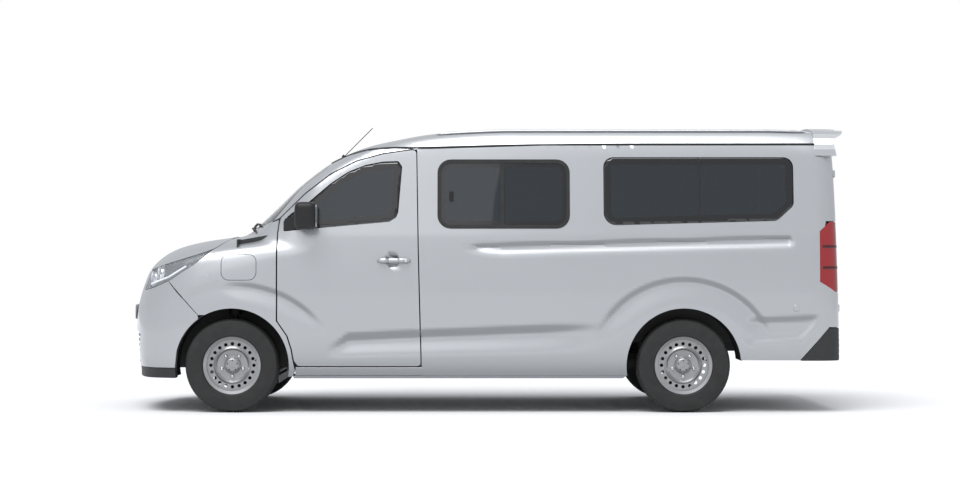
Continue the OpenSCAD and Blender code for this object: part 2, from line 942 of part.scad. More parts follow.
module rear_leaves() {
    on_rear_face() for (z = rear_hinge_z - [rear_z0, rear_z0]) difference() {
        union() {
            bar_z(rear_axis_x, -rear_hinge_y, z + eye_gap, z + 40, pin_r + eye_wall);
            block([0, -rear_hinge_y + 8, z + eye_gap], [8, -rear_hinge_y + 70, z + 40]);
            block([4, -rear_hinge_y, z + eye_gap], [12, -rear_hinge_y + 20, z + 40]);
        }
        bar_z(rear_axis_x, -rear_hinge_y, -far, far, pin_r + pin_fit);
    }
}

module root_rear_hinges() {
    on_rear_face() for (z = rear_hinge_z - [rear_z0, rear_z0]) {
        bar_z(rear_axis_x, -rear_hinge_y, z - 40, z - eye_gap, pin_r + eye_wall);
        block([0, -rear_hinge_y - 50, z - 40], [8, -rear_hinge_y - 6, z - eye_gap]);
        block([4, -rear_hinge_y - 20, z - 40], [12, -rear_hinge_y, z - eye_gap]);
        bar_z(rear_axis_x, -rear_hinge_y, z - eye_gap, z + 36, pin_r);
    }
}

module rear_door_glass() {
    intersection() {
        glass_sheet();
        along(rear_glass_outline, re - 300, re);
    }
}

module left_rear_door() {
    color("silver") rear_door();
}

module right_rear_door() {
    color("silver") on_right() rear_door();
}

module left_rear_door_glass() {
    color("#39434b") rear_door_glass();
}

module right_rear_door_glass() {
    color("#39434b") on_right() rear_door_glass();
}

// ---- Charging flap and inlet ----

// The shoulder's own plane on the left: y to the outside, z up along the lean
module on_shoulder() {
    translate([0, -half_w, shoulder_z]) rotate([-shoulder_lean, 0, 0]) children();
}

// Flap with a hooked arm that reaches round the edge of the wing
module charge_flap() {
    hook_in = 25;
    hook_out = 32;
    color("silver") {
        intersection() {
            difference() {
                body_solid();
                body_solid(flap_t, 0, 300);
            }
            across(flap_outline, -far, 0);
        }
        on_shoulder() translate([flap_axis_x, flap_axis_y, flap_axis_z - flap_arm_h]) difference() {
            linear_extrude(2 * flap_arm_h) {
                difference() {
                    circle(r = hook_out, $fn = 96);
                    circle(r = hook_in, $fn = 96);
                    polygon([[-60, -60], [60, -60], [60, flap_t - flap_axis_y - 1],
                             [0, 0], [-40, 40], [-60, 40]]);
                }
                rotate(130) translate([0, -3.5]) square([hook_in + 3, 7]);
                circle(r = flap_pin_r + 3);
            }
            translate([0, 0, -1]) cylinder(r = flap_pin_r + pin_fit, h = 2 * flap_arm_h + 2, $fn = 24);
        }
    }
}

// Space in the wing for the flap's arm
module flap_pocket() {
    on_shoulder() translate([flap_axis_x, 0, flap_axis_z])
        block([-40, flap_axis_y - 7, -flap_arm_h - 4], [60, 40, flap_arm_h + 4]);
}

module flap_pin() {
    on_shoulder() translate([flap_axis_x, flap_axis_y, flap_axis_z - flap_arm_h - 5])
        cylinder(r = flap_pin_r, h = 2 * flap_arm_h + 10, $fn = 24);
}

module charging_inlet() {
    y0 = -half_w + 60;
    color("#1c1d1f") difference() {
        union() {
            block([flap_x0 + 30, y0, flap_z0 + 20], [fa + 199.7, y0 + 20, flap_z1 - 20]);
            bar_y(socket_x, socket_z, y0, y0 + 60, socket_r + 15);
        }
        bar_y(socket_x, socket_z, y0 - 10, y0 + socket_depth, socket_r);
    }
}

// ---- Cabin ----

module dashboard() {
    color("#2a2c2f") intersection() {
        inner_solid();
        block([fa, -half_w + 130, 0], [far, half_w - 130, far]);
        across([[bulkhead_x + plate_t, housing_z + plate_t], [fa + 400, housing_z + plate_t],
                [fa + 470, 900], [fa + 480, 1150], [fa + 420, 1250], [fa + 250, 1262],
                [bulkhead_x + plate_t, 1225]]);
    }
    color("#2a2c2f") at_steering() translate([0, 0, -210]) cylinder(r = 32, h = 119.7);
}

steer_x = fa + 640;
steer_y = -half_w + 500;
steer_z = 1130;
steer_tilt = 55;

module at_steering() {
    translate([steer_x, steer_y, steer_z]) rotate([0, steer_tilt, 0]) children();
}

module steering_wheel() {
    color("#1f2022") at_steering() {
        rotate_extrude() translate([steer_r - grip_r, 0]) circle(r = grip_r);
        translate([0, 0, -25]) cylinder(r = 62, h = 35);
        for (a = [90, 180, 270]) rotate([0, 0, a]) translate([50, -16, -14]) cube([118, 32, 14]);
        translate([0, 0, -90]) cylinder(r = 25, h = 70);
    }
}

// Rows of seats: x of the seat's front edge, height of the cushion's foot, and each seat's span
row_x = [fa + 800, fa + 1500, ra - 560];
front_spans = [[-half_w + 240, -half_w + 740], [-half_w + 830, half_w - 640], [half_w - 620, half_w - 180]];
rear_spans = [[-690, -240], [-225, 225], [240, 690]];
seat_l = 430;
seat_z = 790;
back_h = 560;
back_lean = 15;

module seat_row(x, spans, soft) {
    for (s = spans)
        if (soft) seat_pads(x, s[0], s[1]);
        else seat_frame(x, s[0], s[1]);
}

// The back's own plane, leaned back at the rear of the seat
module on_back(x) {
    translate([x + seat_l + 5, 0, seat_z - 20]) rotate([0, back_lean, 0]) children();
}

module seat_pads(x, y0, y1) {
    mid = (y0 + y1) / 2;
    across([[x, seat_z], [x + seat_l, seat_z - 20], [x + seat_l, seat_z + 75],
            [x + 60, seat_z + 110], [x, seat_z + 95]], y0, y1);
    on_back(x) {
        across([[0, 20], [100, 42], [100, back_h], [30, back_h], [0, back_h - 60]],
               y0 + 5, y1 - 5);
        across([[25, back_h + 12], [100, back_h + 12], [95, back_h + 155], [35, back_h + 155]],
               mid - 125, mid + 125);
    }
}

// Legs, pan and back of a seat's frame
module seat_frame(x, y0, y1) {
    mid = (y0 + y1) / 2;
    foot = seat_z - 21;
    for (y = [y0 + 60, y1 - 90]) {
        block([x + 40, y, floor_z], [x + seat_l - 40, y + 30, foot - 10]);
        across([[x + 320, foot - 45], [x + 475, foot - 75], [x + 535, foot - 70],
                [x + 541, foot], [x + 465, foot - 20], [x + 320, foot - 10]], y, y + 30);
    }
    across([[x + 20, foot - 20], [x + seat_l - 5, foot - 40], [x + seat_l - 5, foot + 0.9],
            [x + 20, foot + 19.7]], y0 + 60, y1 - 60);
    on_back(x) {
        across([[100.3, -60], [115, -60], [115, back_h - 40], [100.3, back_h - 40]],
               y0 + 60, y1 - 60);
        across([[100.3, 0], [108, 0], [108, back_h + 110], [100.3, back_h + 110]],
               mid - 20, mid + 20);
    }
}

module seat_frames() {
    color("#303235") {
        seat_row(row_x[0], front_spans, false);
        seat_row(row_x[1], rear_spans, false);
        seat_row(row_x[2], rear_spans, false);
    }
}

module seat_cushions() {
    color("#3a3d42") {
        seat_row(row_x[0], front_spans, true);
        seat_row(row_x[1], rear_spans, true);
        seat_row(row_x[2], rear_spans, true);
    }
}

// ---- Underbody ----

module battery_pack() {
    color("#4b4e52") block([fa + 620, -600, 235], [ra - 520, 600, floor_z - floor_t]);
}

module drive_unit() {
    color("#5b5f63") block([fa - 260, -330, frame_top_z], [fa + 200, 330, housing_z - 10]);
}

kingpin_y = wheel_y - kingpin_offset;
ball_z = 205;
ball_r = 14;
clamp_z = 410;
strut_r = 22;
frame_top_z = 235;

// Distance of the steering axis from the middle, at height z
function pin_y(z) = kingpin_y - (z - axle_z) * tan(kingpin_lean);

module along_pin(z0, z1, r) {
    intersection() {
        translate([fa, -pin_y(axle_z), axle_z]) rotate([-kingpin_lean, 0, 0])
            translate([0, 0, -far / 2]) cylinder(r = r, h = far);
        block([fa - 200, -far, z0], [fa + 200, 0, z1]);
    }
}

module front_subframe() {
    ball_y = pin_y(ball_z);
    color("#2f3134") {
        block([fa - 180, -420, frame_top_z - 55], [fa + 290, 420, frame_top_z]);
        bar_y(fa + 250, frame_top_z + 22, -400, 400, 28);
        on_both() {
            upwards([[fa - 110, -400], [fa - 110, -430], [fa - 20, -ball_y - 20],
                     [fa + 20, -ball_y - 20], [fa + 130, -430], [fa + 130, -400]], 170, 189);
            bar_z(fa, -ball_y, 175, ball_z, ball_r - 5);
            translate([fa, -ball_y, ball_z]) sphere(r = ball_r);
            for (x = [fa - 175, fa + 235]) block([x, -470, frame_top_z - 55], [x + 45, -400, 470]);
            strut();
        }
    }
}

// Struts and springs above the stub axles
module strut() {
    along_pin(clamp_z + 10, housing_z, strut_r);
    along_pin(tyre_d + 25, housing_z, 50);
}

module rear_axle() {
    color("#2f3134") {
        bar_y(ra, axle_z, -wheel_y + 46, wheel_y - 46, 38);
        on_both() {
            bar_y(ra, axle_z, -wheel_y - 30, -wheel_y + 60, spindle_r);
            block([ra - 470, -560, axle_z - 25], [ra, -500, axle_z + 25]);
            bar_z(ra, -530, axle_z + 10, floor_z - floor_t, 50);
            block([ra - 500, -560, axle_z - 25], [ra - 440, -500, floor_z - floor_t]);
        }
    }
}

module knuckle() {
    color("#3c3f42") {
        bar_y(fa, axle_z, -wheel_y - 30, -wheel_y + 60, spindle_r);
        difference() {
            union() {
                bar_y(fa, axle_z, -wheel_y + 46, -wheel_y + 115, 52);
                block([fa - 25, -wheel_y + 50, ball_z - 3], [fa + 25, -wheel_y + 105, clamp_z]);
                block([fa - 32, -wheel_y + 50, clamp_z - 20],
                      [fa + 32, -wheel_y + 150, clamp_z + 50]);
            }
            translate([fa, -pin_y(ball_z), ball_z]) sphere(r = ball_r + pin_fit);
            along_pin(clamp_z, far, strut_r + pin_fit);
        }
    }
}

module left_knuckle() {
    knuckle();
}

module right_knuckle() {
    on_right() knuckle();
}

// ---- Wheels ----

// Half-section of the tyre, as [radius, distance outboard of its middle]
module tyre_section() {
    r = tyre_d / 2;
    w = tyre_w / 2;
    bead = rim_d / 2 - 13.7;
    lip = rim_d / 2 + 3;
    half = [[bead, w - 36], [lip, w - 36], [lip, w - 20], [lip + 37, w - 4], [r - 55, w],
            [r - 10, w - 14], [r, w - 32]];
    radii = [3, 2, 4, 12, 25, 8, 8];
    polygon(rounded(
        concat([for (p = half) [p.x, -p.y]], [for (i = [6:-1:0]) half[i]]),
        concat(radii, [for (i = [6:-1:0]) radii[i]]), 3));
}

module tyre() {
    color("#17181a") rotate([90, 0, 0]) rotate_extrude($fn = 96) tyre_section();
}

// Steel wheel with a ring of vent holes, hub and brake disc; +Z is outboard before it is turned
module rim() {
    lip = rim_d / 2;
    seat = lip - 14;
    w = tyre_w / 2 - 22;
    color("#b9bec4") rotate([90, 0, 0]) difference() {
        union() {
            rotate_extrude($fn = 96) polygon([
                [seat - 8, -w], [lip, -w], [lip, -w + 8], [seat, -w + 12], [seat, w - 12],
                [lip, w - 8], [lip, w + 2], [seat - 8, w - 6], [seat - 8, 46], [136, 46],
                [122, 54], [108, 40], [62, 34], [55, 44], [0, 50], [0, -36], [35, -36],
                [35, -32], [140, -32], [140, -20], [35, -20], [35, 18], [62, 22], [108, 28],
                [seat - 8, 34]
            ]);
        }
        for (i = [0:vent_count - 1]) rotate([0, 0, i * 360 / vent_count])
            translate([153, 0, 0]) cylinder(r = vent_r, h = 100, $fn = 24);
        translate([0, 0, -50]) cylinder(r = spindle_r + pin_fit, h = 50 + 32);
    }
}

module at_wheel(x) {
    translate([x, -wheel_y, axle_z]) children();
}

module front_left_rim() {
    at_wheel(fa) rim();
}

module front_left_tyre() {
    at_wheel(fa) tyre();
}

module front_right_rim() {
    on_right() at_wheel(fa) rim();
}

module front_right_tyre() {
    on_right() at_wheel(fa) tyre();
}

module rear_left_rim() {
    at_wheel(ra) rim();
}

module rear_left_tyre() {
    at_wheel(ra) tyre();
}

module rear_right_rim() {
    on_right() at_wheel(ra) rim();
}

module rear_right_tyre() {
    on_right() at_wheel(ra) tyre();
}

module antenna() {
    color("#1b1c1e") difference() {
        translate([fa + 736, 0, up(0, 0.735).y]) rotate([0, 45, 0]) {
            cylinder(r = 16, h = 22);
            cylinder(r = 3, h = aerial_l);
        }
        body_solid();
    }
}

floor_pan();
bulkhead();
chassis_rails();
rear_wheel_housings();
roof_panel();
left_side_panel();
right_side_panel();
sliding_door();
left_front_wing();
right_front_wing();
cowl();
bonnet();
front_bumper();
bumper_grille();
rear_bumper();
roof_spoiler();
headlights();
tail_lights();
windscreen();
side_glass();
left_front_door();
right_front_door();
left_front_door_glass();
right_front_door_glass();
left_mirror();
right_mirror();
left_rear_door();
right_rear_door();
left_rear_door_glass();
right_rear_door_glass();
charge_flap();
charging_inlet();
dashboard();
steering_wheel();
seat_frames();
seat_cushions();
battery_pack();
drive_unit();
front_subframe();
rear_axle();
left_knuckle();
right_knuckle();
front_left_rim();
front_left_tyre();
front_right_rim();
front_right_tyre();
rear_left_rim();
rear_left_tyre();
rear_right_rim();
rear_right_tyre();
antenna();
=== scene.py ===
import json
import bmesh
import bpy
import numpy as np
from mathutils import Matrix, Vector
from mathutils.geometry import delaunay_2d_cdt

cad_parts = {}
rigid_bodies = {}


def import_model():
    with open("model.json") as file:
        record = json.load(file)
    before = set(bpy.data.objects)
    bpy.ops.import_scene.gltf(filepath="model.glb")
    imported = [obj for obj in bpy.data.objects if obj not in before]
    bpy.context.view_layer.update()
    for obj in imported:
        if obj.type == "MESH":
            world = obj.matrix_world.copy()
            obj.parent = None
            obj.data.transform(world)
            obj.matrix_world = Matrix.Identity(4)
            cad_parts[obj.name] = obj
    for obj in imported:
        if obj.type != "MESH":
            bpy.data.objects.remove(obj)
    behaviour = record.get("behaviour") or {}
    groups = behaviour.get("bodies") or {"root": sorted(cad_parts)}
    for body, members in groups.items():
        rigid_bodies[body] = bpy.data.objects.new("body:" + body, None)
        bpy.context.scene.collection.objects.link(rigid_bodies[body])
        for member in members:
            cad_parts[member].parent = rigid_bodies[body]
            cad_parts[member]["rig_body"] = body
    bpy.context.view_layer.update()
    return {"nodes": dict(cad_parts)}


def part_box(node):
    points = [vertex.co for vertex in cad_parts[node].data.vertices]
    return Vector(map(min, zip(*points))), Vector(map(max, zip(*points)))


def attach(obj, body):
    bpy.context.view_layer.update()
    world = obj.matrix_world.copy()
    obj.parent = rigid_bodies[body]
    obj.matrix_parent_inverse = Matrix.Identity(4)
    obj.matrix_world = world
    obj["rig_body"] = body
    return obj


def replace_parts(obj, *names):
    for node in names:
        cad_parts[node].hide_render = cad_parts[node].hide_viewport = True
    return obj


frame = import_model()
nodes = frame["nodes"]
print("frame loaded:", len(nodes), "nodes")

# Stations of the vehicle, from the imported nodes
frontX = sum(corner.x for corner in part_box("front_left_tyre")) / 2
rearX = sum(corner.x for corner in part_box("rear_left_tyre")) / 2
wheelY = -sum(corner.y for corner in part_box("front_left_tyre")) / 2
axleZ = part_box("front_left_tyre")[1].z / 2
halfWidth = -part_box("left_front_wing")[0].y
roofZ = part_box("roof_panel")[1].z
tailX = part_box("rear_bumper")[1].x


def fromFront(points):  # millimetres behind the front axle and above the ground
    return np.array(points, float) / 1000 + [frontX, 0]


def fromRear(points):  # millimetres behind the rear axle and above the ground
    return np.array(points, float) / 1000 + [rearX, 0]


# Cubic spline with its ends held: each round doubles the points, then averages neighbours
def softened(points, rounds=4):
    line = np.asarray(points, float)
    for _ in range(rounds):
        first, last = line[:1], line[-1:]
        line = np.repeat(line, 2, axis=0)
        for _ in range(2):
            line = (line[:-1] + line[1:]) / 2
        line = np.concatenate([first, line, last])
    return line


# Closed outline whose corners become arcs of the given radii
def roundCorners(points, radii, steps=7):
    points = np.asarray(points, float)
    radii = np.broadcast_to(radii, len(points))
    arcs = []
    for i, radius in enumerate(radii):
        here = points[i]
        before = points[i - 1] - here
        after = points[(i + 1) % len(points)] - here
        before, after = before / np.hypot(*before), after / np.hypot(*after)
        half = np.arccos(np.clip(before @ after, -1, 1)) / 2
        middle = here + (before + after) / np.hypot(*(before + after)) * radius / np.sin(half)
        a, b = here + before * radius / np.tan(half), here + after * radius / np.tan(half)
        start = np.arctan2(*(a - middle)[::-1])
        turn = (np.arctan2(*(b - middle)[::-1]) - start + 3 * np.pi) % (2 * np.pi) - np.pi
        angle = start + turn * np.linspace(0, 1, steps)
        arcs.append(middle + radius * np.stack([np.cos(angle), np.sin(angle)], 1))
    return np.concatenate(arcs)


def circle(count):
    angle = np.linspace(0, 2 * np.pi, count, endpoint=False)
    return np.stack([np.cos(angle), np.sin(angle)], 1)


# Closed outline resampled so that no side is longer than step
def resample(loop, step):
    loop = np.asarray(loop, float)
    ahead = np.roll(loop, -1, axis=0)
    parts = []
    for a, b in zip(loop, ahead):
        count = max(1, int(np.ceil(np.hypot(*(b - a)) / step)))
        parts.append(a + (b - a) * np.arange(count)[:, None] / count)
    return np.concatenate(parts)


# Even-odd test: how many sides of the outline a ray along +u crosses
def isInside(points, loop):
    a, b = loop, np.roll(loop, -1, axis=0)
    u, v = points[:, :1], points[:, 1:]
    crosses = (a[:, 1] > v) != (b[:, 1] > v)
    rise = np.where(b[:, 1] == a[:, 1], 1e-12, b[:, 1] - a[:, 1])
    return (crosses & (u < a[:, 0] + (v - a[:, 1]) * (b[:, 0] - a[:, 0]) / rise)).sum(1) % 2 == 1


# Distance to the nearest side of any of the outlines
def edgeDistance(points, loops):
    nearest = np.full(len(points), 9.0)
    for loop in loops:
        a, b = loop, np.roll(loop, -1, axis=0)
        side = b - a
        along = ((points[:, None] - a) * side).sum(2) / (side ** 2).sum(1)
        gap = points[:, None] - a - np.clip(along, 0, 1)[:, :, None] * side
        nearest = np.minimum(nearest, np.hypot(gap[..., 0], gap[..., 1]).min(1))
    return nearest


def smooth(value, low, high):  # smooth step from 0 at low to 1 at high
    t = np.clip((value - low) / (high - low), 0, 1)
    return t * t * (3 - 2 * t)


# Lines that shape the body: the outline of its nose and tail seen from the side, the side in
# section, the bow of nose and tail in plan, and how far the roof falls away from the middle
noseLine = softened(fromFront([
    [-768, 240], [-768, 300], [-788, 390], [-798, 500], [-800, 616], [-792, 730], [-765, 840],
    [-730, 941], [-698, 1014], [-636, 1083], [-537, 1152], [-406, 1198], [-252, 1229],
    [-138, 1244], [9, 1267], [55, 1291], [261, 1478], [391, 1603], [520, 1712], [651, 1803],
    [780, 1868], [909, 1919], [1037, 1952], [1169, 1978], [1299, 2004], [1466, 2026],
    [1700, 2045], [2000, 2054]]), 3)
tailLine = softened(np.array([
    [-560, roofZ], [-280, roofZ - .008], [-190, roofZ - .030], [-140, roofZ - .075],
    [-112, roofZ - .140], [-95, roofZ - .224], [-56, .6], [-56, .2]])
    * [.001, 1] + [tailX, 0], 3)
section = softened(np.array([
    [-52, 240], [-26, 325], [-11, 450], [-3, 640], [0, 790], [0, 930], [-15, 1250],
    [-24, 1305], [-85, 1804], [-101, 1872], [-116, 1942], [-142, 2060]]) / 1000
    + [halfWidth, 0], 3)
frontBow = softened(np.array([
    [0, 0], [230, 20], [410, 50], [590, 88], [720, 134], [805, 200], [868, 300], [906, 435],
    [928, 575], [940, 780], [960, 1300]]) / 1000, 3)
rearBow = softened(np.array([
    [0, 0], [500, 2], [780, 10], [860, 18], [894, 30], [918, 48], [934, 75], [941, 130],
    [960, 500]]) / 1000, 3)
crown = softened(np.array([
    [0, 0], [240, 3], [500, 16], [690, 30], [800, 45], [940, 75]]) / 1000, 3)
noseFoot = int(np.argmin(noseLine[:, 0]))


def topAt(x):  # height of the nose, the roof or the tail, the lowest of them
    front = np.interp(x, noseLine[noseFoot:, 0], noseLine[noseFoot:, 1])
    return np.minimum(front, np.interp(x, tailLine[:, 0], tailLine[:, 1]))


def noseAt(z):  # x of the nose at a height
    return np.interp(z, noseLine[:, 1], noseLine[:, 0], right=noseLine[-1, 0] + 9)


def tailAt(z):  # x of the tail at a height
    return np.interp(z, tailLine[::-1, 1], tailLine[::-1, 0], right=tailLine[0, 0] - 9)


# Depth under a falling curve from its two legs: their product over their hypotenuse
def legs(down, across):
    depth = down * np.abs(across) / np.sqrt(down ** 2 + across ** 2 + 1e-12)
    return np.minimum(depth, across)


# Pressed lines of the side, as millimetres of depth at (x, z): the groove under the windows,
# the lower groove, the brow over each wheel, the recess behind the rear wheel, handle bowls
def sideRelief(x, z):
    a, r = x - frontX, x - rearX
    top = np.interp(a, [1.6, 3.99], [1.190, 1.2545])
    foot = np.interp(a, [1.6, 1.9, 3.99], [1.150, 1.108, 1.158])
    u = (top - z) / (top - foot)
    ends = smooth(a, 1.62, 1.80) * smooth(-a, -3.995, -3.96)
    groove = -22 * ends * smooth(u, -.02, .20) * (1 - smooth(u, .25, 1.05))
    top = np.interp(a, [.62, .832, 1.479, 2.72], [.395, .558, .588, .640])
    foot = np.interp(a, [.5, 1.2, 2.72], [.385, .402, .430])
    u = (top - z) / (top - foot)
    ends = smooth(a, .66, .86) * smooth(-a, -2.74, -2.10)
    lower = -26 * ends * smooth(u, -.02, .24) * (1 - smooth(u, .30, 1.0))
    reach = np.hypot(a * np.where(a < 0, .94, .80), z - axleZ)
    brow = -17 * smooth(-reach, -.597, -.562) * smooth(reach, .43, .575) * smooth(z, .55, .74)
    reach = np.hypot(r * .94, z - axleZ)
    brow = brow - 20 * smooth(-reach, -.630, -.592) * smooth(reach, .44, .605) * smooth(z, .50, .70)
    u = np.minimum((z - np.interp(r, [.46, .83, .97], [.484, .520, .673])),
                   np.interp(r, [.399, .959], [.667, .690]) - z)
    recess = -14 * smooth(u, 0, .028) * smooth(r, .40, .50) * smooth(-r, -.985, -.95)
    bowl = -24 * smooth(-np.hypot((a - 1.146) / .050, (z - 1.078) / .050), -1, -.72)
    return (groove + lower + brow + recess + bowl) / 1000


# Inside is positive: the side, the nose swept along its bow in plan, the roof and the tail
# meet with rounded edges, as radius - root of the sum of squares of (radius - depth)
def depthInside(x, y, z):
    width = np.abs(y)
    lifted = z + np.interp(width, *crown.T)
    x1 = x - np.interp(width, *frontBow.T) * np.interp(z, [.95, 1.3, 1.6], [1, .8, .35])
    x2 = x + np.interp(width, *rearBow.T)
    ends = np.minimum(legs(topAt(x1) - lifted, x1 - noseAt(lifted)),
                      legs(topAt(x2) - lifted, tailAt(lifted) - x2))
    side = np.interp(z, *section.T[::-1]) - width
    side = side + np.where(width > .7, sideRelief(x, z), 0)
    radius = np.interp(x - frontX, [-.2, .2, 1.1, 1.7], [.10, .045, .06, .12])
    edge = np.maximum(0, radius - ends) ** 2 + np.maximum(0, radius - side) ** 2
    return radius - np.sqrt(edge)


# Where a ray from inside leaves the body, by halving its range
def cast(start, direction, reach):
    low, high = np.zeros(len(start)), np.full(len(start), float(reach))
    for _ in range(26):
        middle = (low + high) / 2
        isIn = depthInside(*(start + direction * middle[:, None]).T) > 0
        low, high = np.where(isIn, middle, low), np.where(isIn, high, middle)
    return start + direction * low[:, None]


def onSide(uv):  # (x, z) on the left side
    start = np.stack([uv[:, 0], np.full(len(uv), -.30), uv[:, 1]], 1)
    return cast(start, np.array([[0, -1.0, 0]]), .8)


def onTop(uv):  # (x, y) from above
    start = np.stack([uv[:, 0], uv[:, 1], np.full(len(uv), .75)], 1)
    return cast(start, np.array([[0, 0, 1.0]]), 1.6)


def onTail(uv):  # (y, z) from behind
    start = np.stack([np.full(len(uv), rearX), uv[:, 0], uv[:, 1]], 1)
    return cast(start, np.array([[1.0, 0, 0]]), 1.6)


def onNose(uv):  # (y, z) from the front
    start = np.stack([np.full(len(uv), frontX + .1), uv[:, 0], uv[:, 1]], 1)
    return cast(start, np.array([[-1.0, 0, 0]]), 1.5)


# Rays that leave an upright line, turned in plan: (angle from the nose, z)
def aroundNose(uv):
    return aroundLine(uv, [frontX + .10, 0], -1)


def aroundTail(uv):  # the same from a line inside the tail
    return aroundLine(uv, [tailX - .50, 0], 1)


def aroundLine(uv, foot, way):
    heading = np.stack([way * np.cos(uv[:, 0]), np.sin(uv[:, 0]), 0 * uv[:, 0]], 1)
    start = np.stack([np.full(len(uv), foot[0]), np.full(len(uv), foot[1]), uv[:, 1]], 1)
    return cast(start, heading, 1.8)


# Mesh from arrays, riding on a body
def newMesh(name, verts, faces, finish, body="root", smoothFaces=True):
    mesh = bpy.data.meshes.new(name)
    mesh.from_pydata(np.asarray(verts, float).tolist(), [], [list(map(int, f)) for f in faces])
    mesh.polygons.foreach_set("use_smooth", [smoothFaces] * len(mesh.polygons))
    mesh.materials.append(finish)
    mesh.update()
    piece = bpy.data.objects.new(name, mesh)
    bpy.context.scene.collection.objects.link(piece)
    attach(piece, body)
    return piece


def solidify(piece, thickness, rim=.003):  # a wall inwards, with a rounded rim if asked
    wall = piece.modifiers.new("wall", "SOLIDIFY")
    wall.thickness = thickness
    wall.offset = -1
    wall.use_even_offset = False
    if rim:
        edge = piece.modifiers.new("edge", "BEVEL")
        edge.width = rim
        edge.segments = 2
        edge.angle_limit = .9
        edge.harden_normals = True


def store(piece, name, values):  # one value at each vertex
    made = piece.data.attributes.new(name, "FLOAT", "POINT")
    made.data.foreach_set("value", np.asarray(values, np.float32))


# Triangles that fill an outline with holes: an even grid of points inside, joined by Delaunay
def fill(outline, holes=(), step=.022):
    loops = [resample(loop, step) for loop in (outline, *holes)]
    low, high = loops[0].min(0), loops[0].max(0)
    grid = np.stack(np.meshgrid(*(np.arange(a + step / 2, b, step) for a, b in zip(low, high))), -1)
    grid = grid.reshape(-1, 2)
    keep = isInside(grid, loops[0])
    for loop in loops[1:]:
        keep &= ~isInside(grid, loop)
    grid = grid[keep]
    grid = grid[edgeDistance(grid, loops) > step * .45]
    points = np.concatenate([*loops, grid])
    faces, start = [], 0
    for loop in loops:
        faces.append(list(range(start, start + len(loop))))
        start += len(loop)
    edges = [(f[i - 1], f[i]) for f in faces for i in range(len(f))]
    made = delaunay_2d_cdt([Vector(p) for p in points], edges, [], 0, 1e-7)
    flat = np.array([list(v) for v in made[0]])
    triangles = np.array([list(f) for f in made[2]])
    middles = flat[triangles].mean(1)
    keep = isInside(middles, loops[0])
    for loop in loops[1:]:
        keep &= ~isInside(middles, loop)
    triangles = triangles[keep]
    a, b, c = flat[triangles[:, 0]], flat[triangles[:, 1]], flat[triangles[:, 2]]
    area = (b[:, 0] - a[:, 0]) * (c[:, 1] - a[:, 1]) - (b[:, 1] - a[:, 1]) * (c[:, 0] - a[:, 0])
    triangles[area < 0] = triangles[area < 0][:, ::-1]
    return flat, triangles[np.abs(area) > 1e-10], loops


# Vertices moved inwards along their normals
def setIn(piece, verts, distance):
    normals = np.zeros(len(verts) * 3)
    piece.data.vertex_normals.foreach_get("vector", normals)
    verts = verts - normals.reshape(-1, 3) * distance
    piece.data.vertices.foreach_set("co", verts.ravel())


# A trimmed panel of the body surface, set in by a distance and given a wall
def panel(name, outline, project, finish, body="root", slot=None, holes=(), step=.022, inset=0,
          wall=.03, rim=.003, mirror=False, flip=False):
    flat, triangles, loops = fill(outline, holes, step)
    verts = project(flat)
    if flip != mirror:
        triangles = triangles[:, ::-1]
    if mirror:
        verts = verts * [1, -1, 1]
    piece = newMesh(name, verts, triangles, finish, body)
    if inset:
        setIn(piece, verts, inset)
    store(piece, "edge", edgeDistance(flat, loops))
    solidify(piece, wall, rim)


# Faces of a grid of rows by columns, joined round the columns and with closed ends if asked
def gridFaces(rows, columns, around=True, capped=True):
    across = columns if around else columns - 1
    i, j = np.meshgrid(np.arange(rows - 1), np.arange(across), indexing="ij")
    i, j = i.ravel(), j.ravel()
    k = (j + 1) % columns
    faces = np.stack([i * columns + j, i * columns + k, (i + 1) * columns + k,
                      (i + 1) * columns + j], 1).tolist()
    if capped and around:
        faces.append(list(range(columns))[::-1])
        faces.append(list(range((rows - 1) * columns, rows * columns)))
    return faces


def fixNormals(piece):  # doubles merged, faces turned outwards
    work = bmesh.new()
    work.from_mesh(piece.data)
    bmesh.ops.remove_doubles(work, verts=work.verts, dist=1e-6)
    bmesh.ops.recalc_face_normals(work, faces=work.faces)
    work.to_mesh(piece.data)
    work.free()


# A profile of (radius, height) pairs turned about an axis through a point
def turned(name, profile, middle, axis, finish, body="root", count=64):
    profile = np.asarray(profile, float)
    axis = np.array(axis, float) / np.linalg.norm(axis)
    side = np.cross(axis, [0, 0, 1] if abs(axis[2]) < .9 else [1, 0, 0])
    side /= np.linalg.norm(side)
    other = np.cross(axis, side)
    angle = np.linspace(0, 2 * np.pi, count, endpoint=False)[None, :, None]
    ring = np.cos(angle) * side + np.sin(angle) * other
    verts = profile[:, :1, None] * ring + profile[:, 1:, None] * axis + np.array(middle)
    fixNormals(newMesh(name, verts.reshape(-1, 3), gridFaces(len(profile), count), finish, body))


# A round or oval profile carried along a path: each ring lies across the path's direction
def tube(name, path, radius, finish, body="root", sides=12, squash=1.0, up=(0, 0, 1)):
    path = np.asarray(path, float)
    along = np.gradient(path, axis=0)
    along /= np.linalg.norm(along, axis=1)[:, None]
    side = np.cross(along, up)
    side /= np.linalg.norm(side, axis=1)[:, None] + 1e-12
    other = np.cross(side, along)
    angle = np.linspace(0, 2 * np.pi, sides, endpoint=False)[None, :, None]
    size = np.broadcast_to(radius, len(path))[:, None, None]
    verts = path[:, None] + size * (np.cos(angle) * side[:, None] * squash
                                    + np.sin(angle) * other[:, None])
    fixNormals(newMesh(name, verts.reshape(-1, 3), gridFaces(len(path), sides), finish, body))


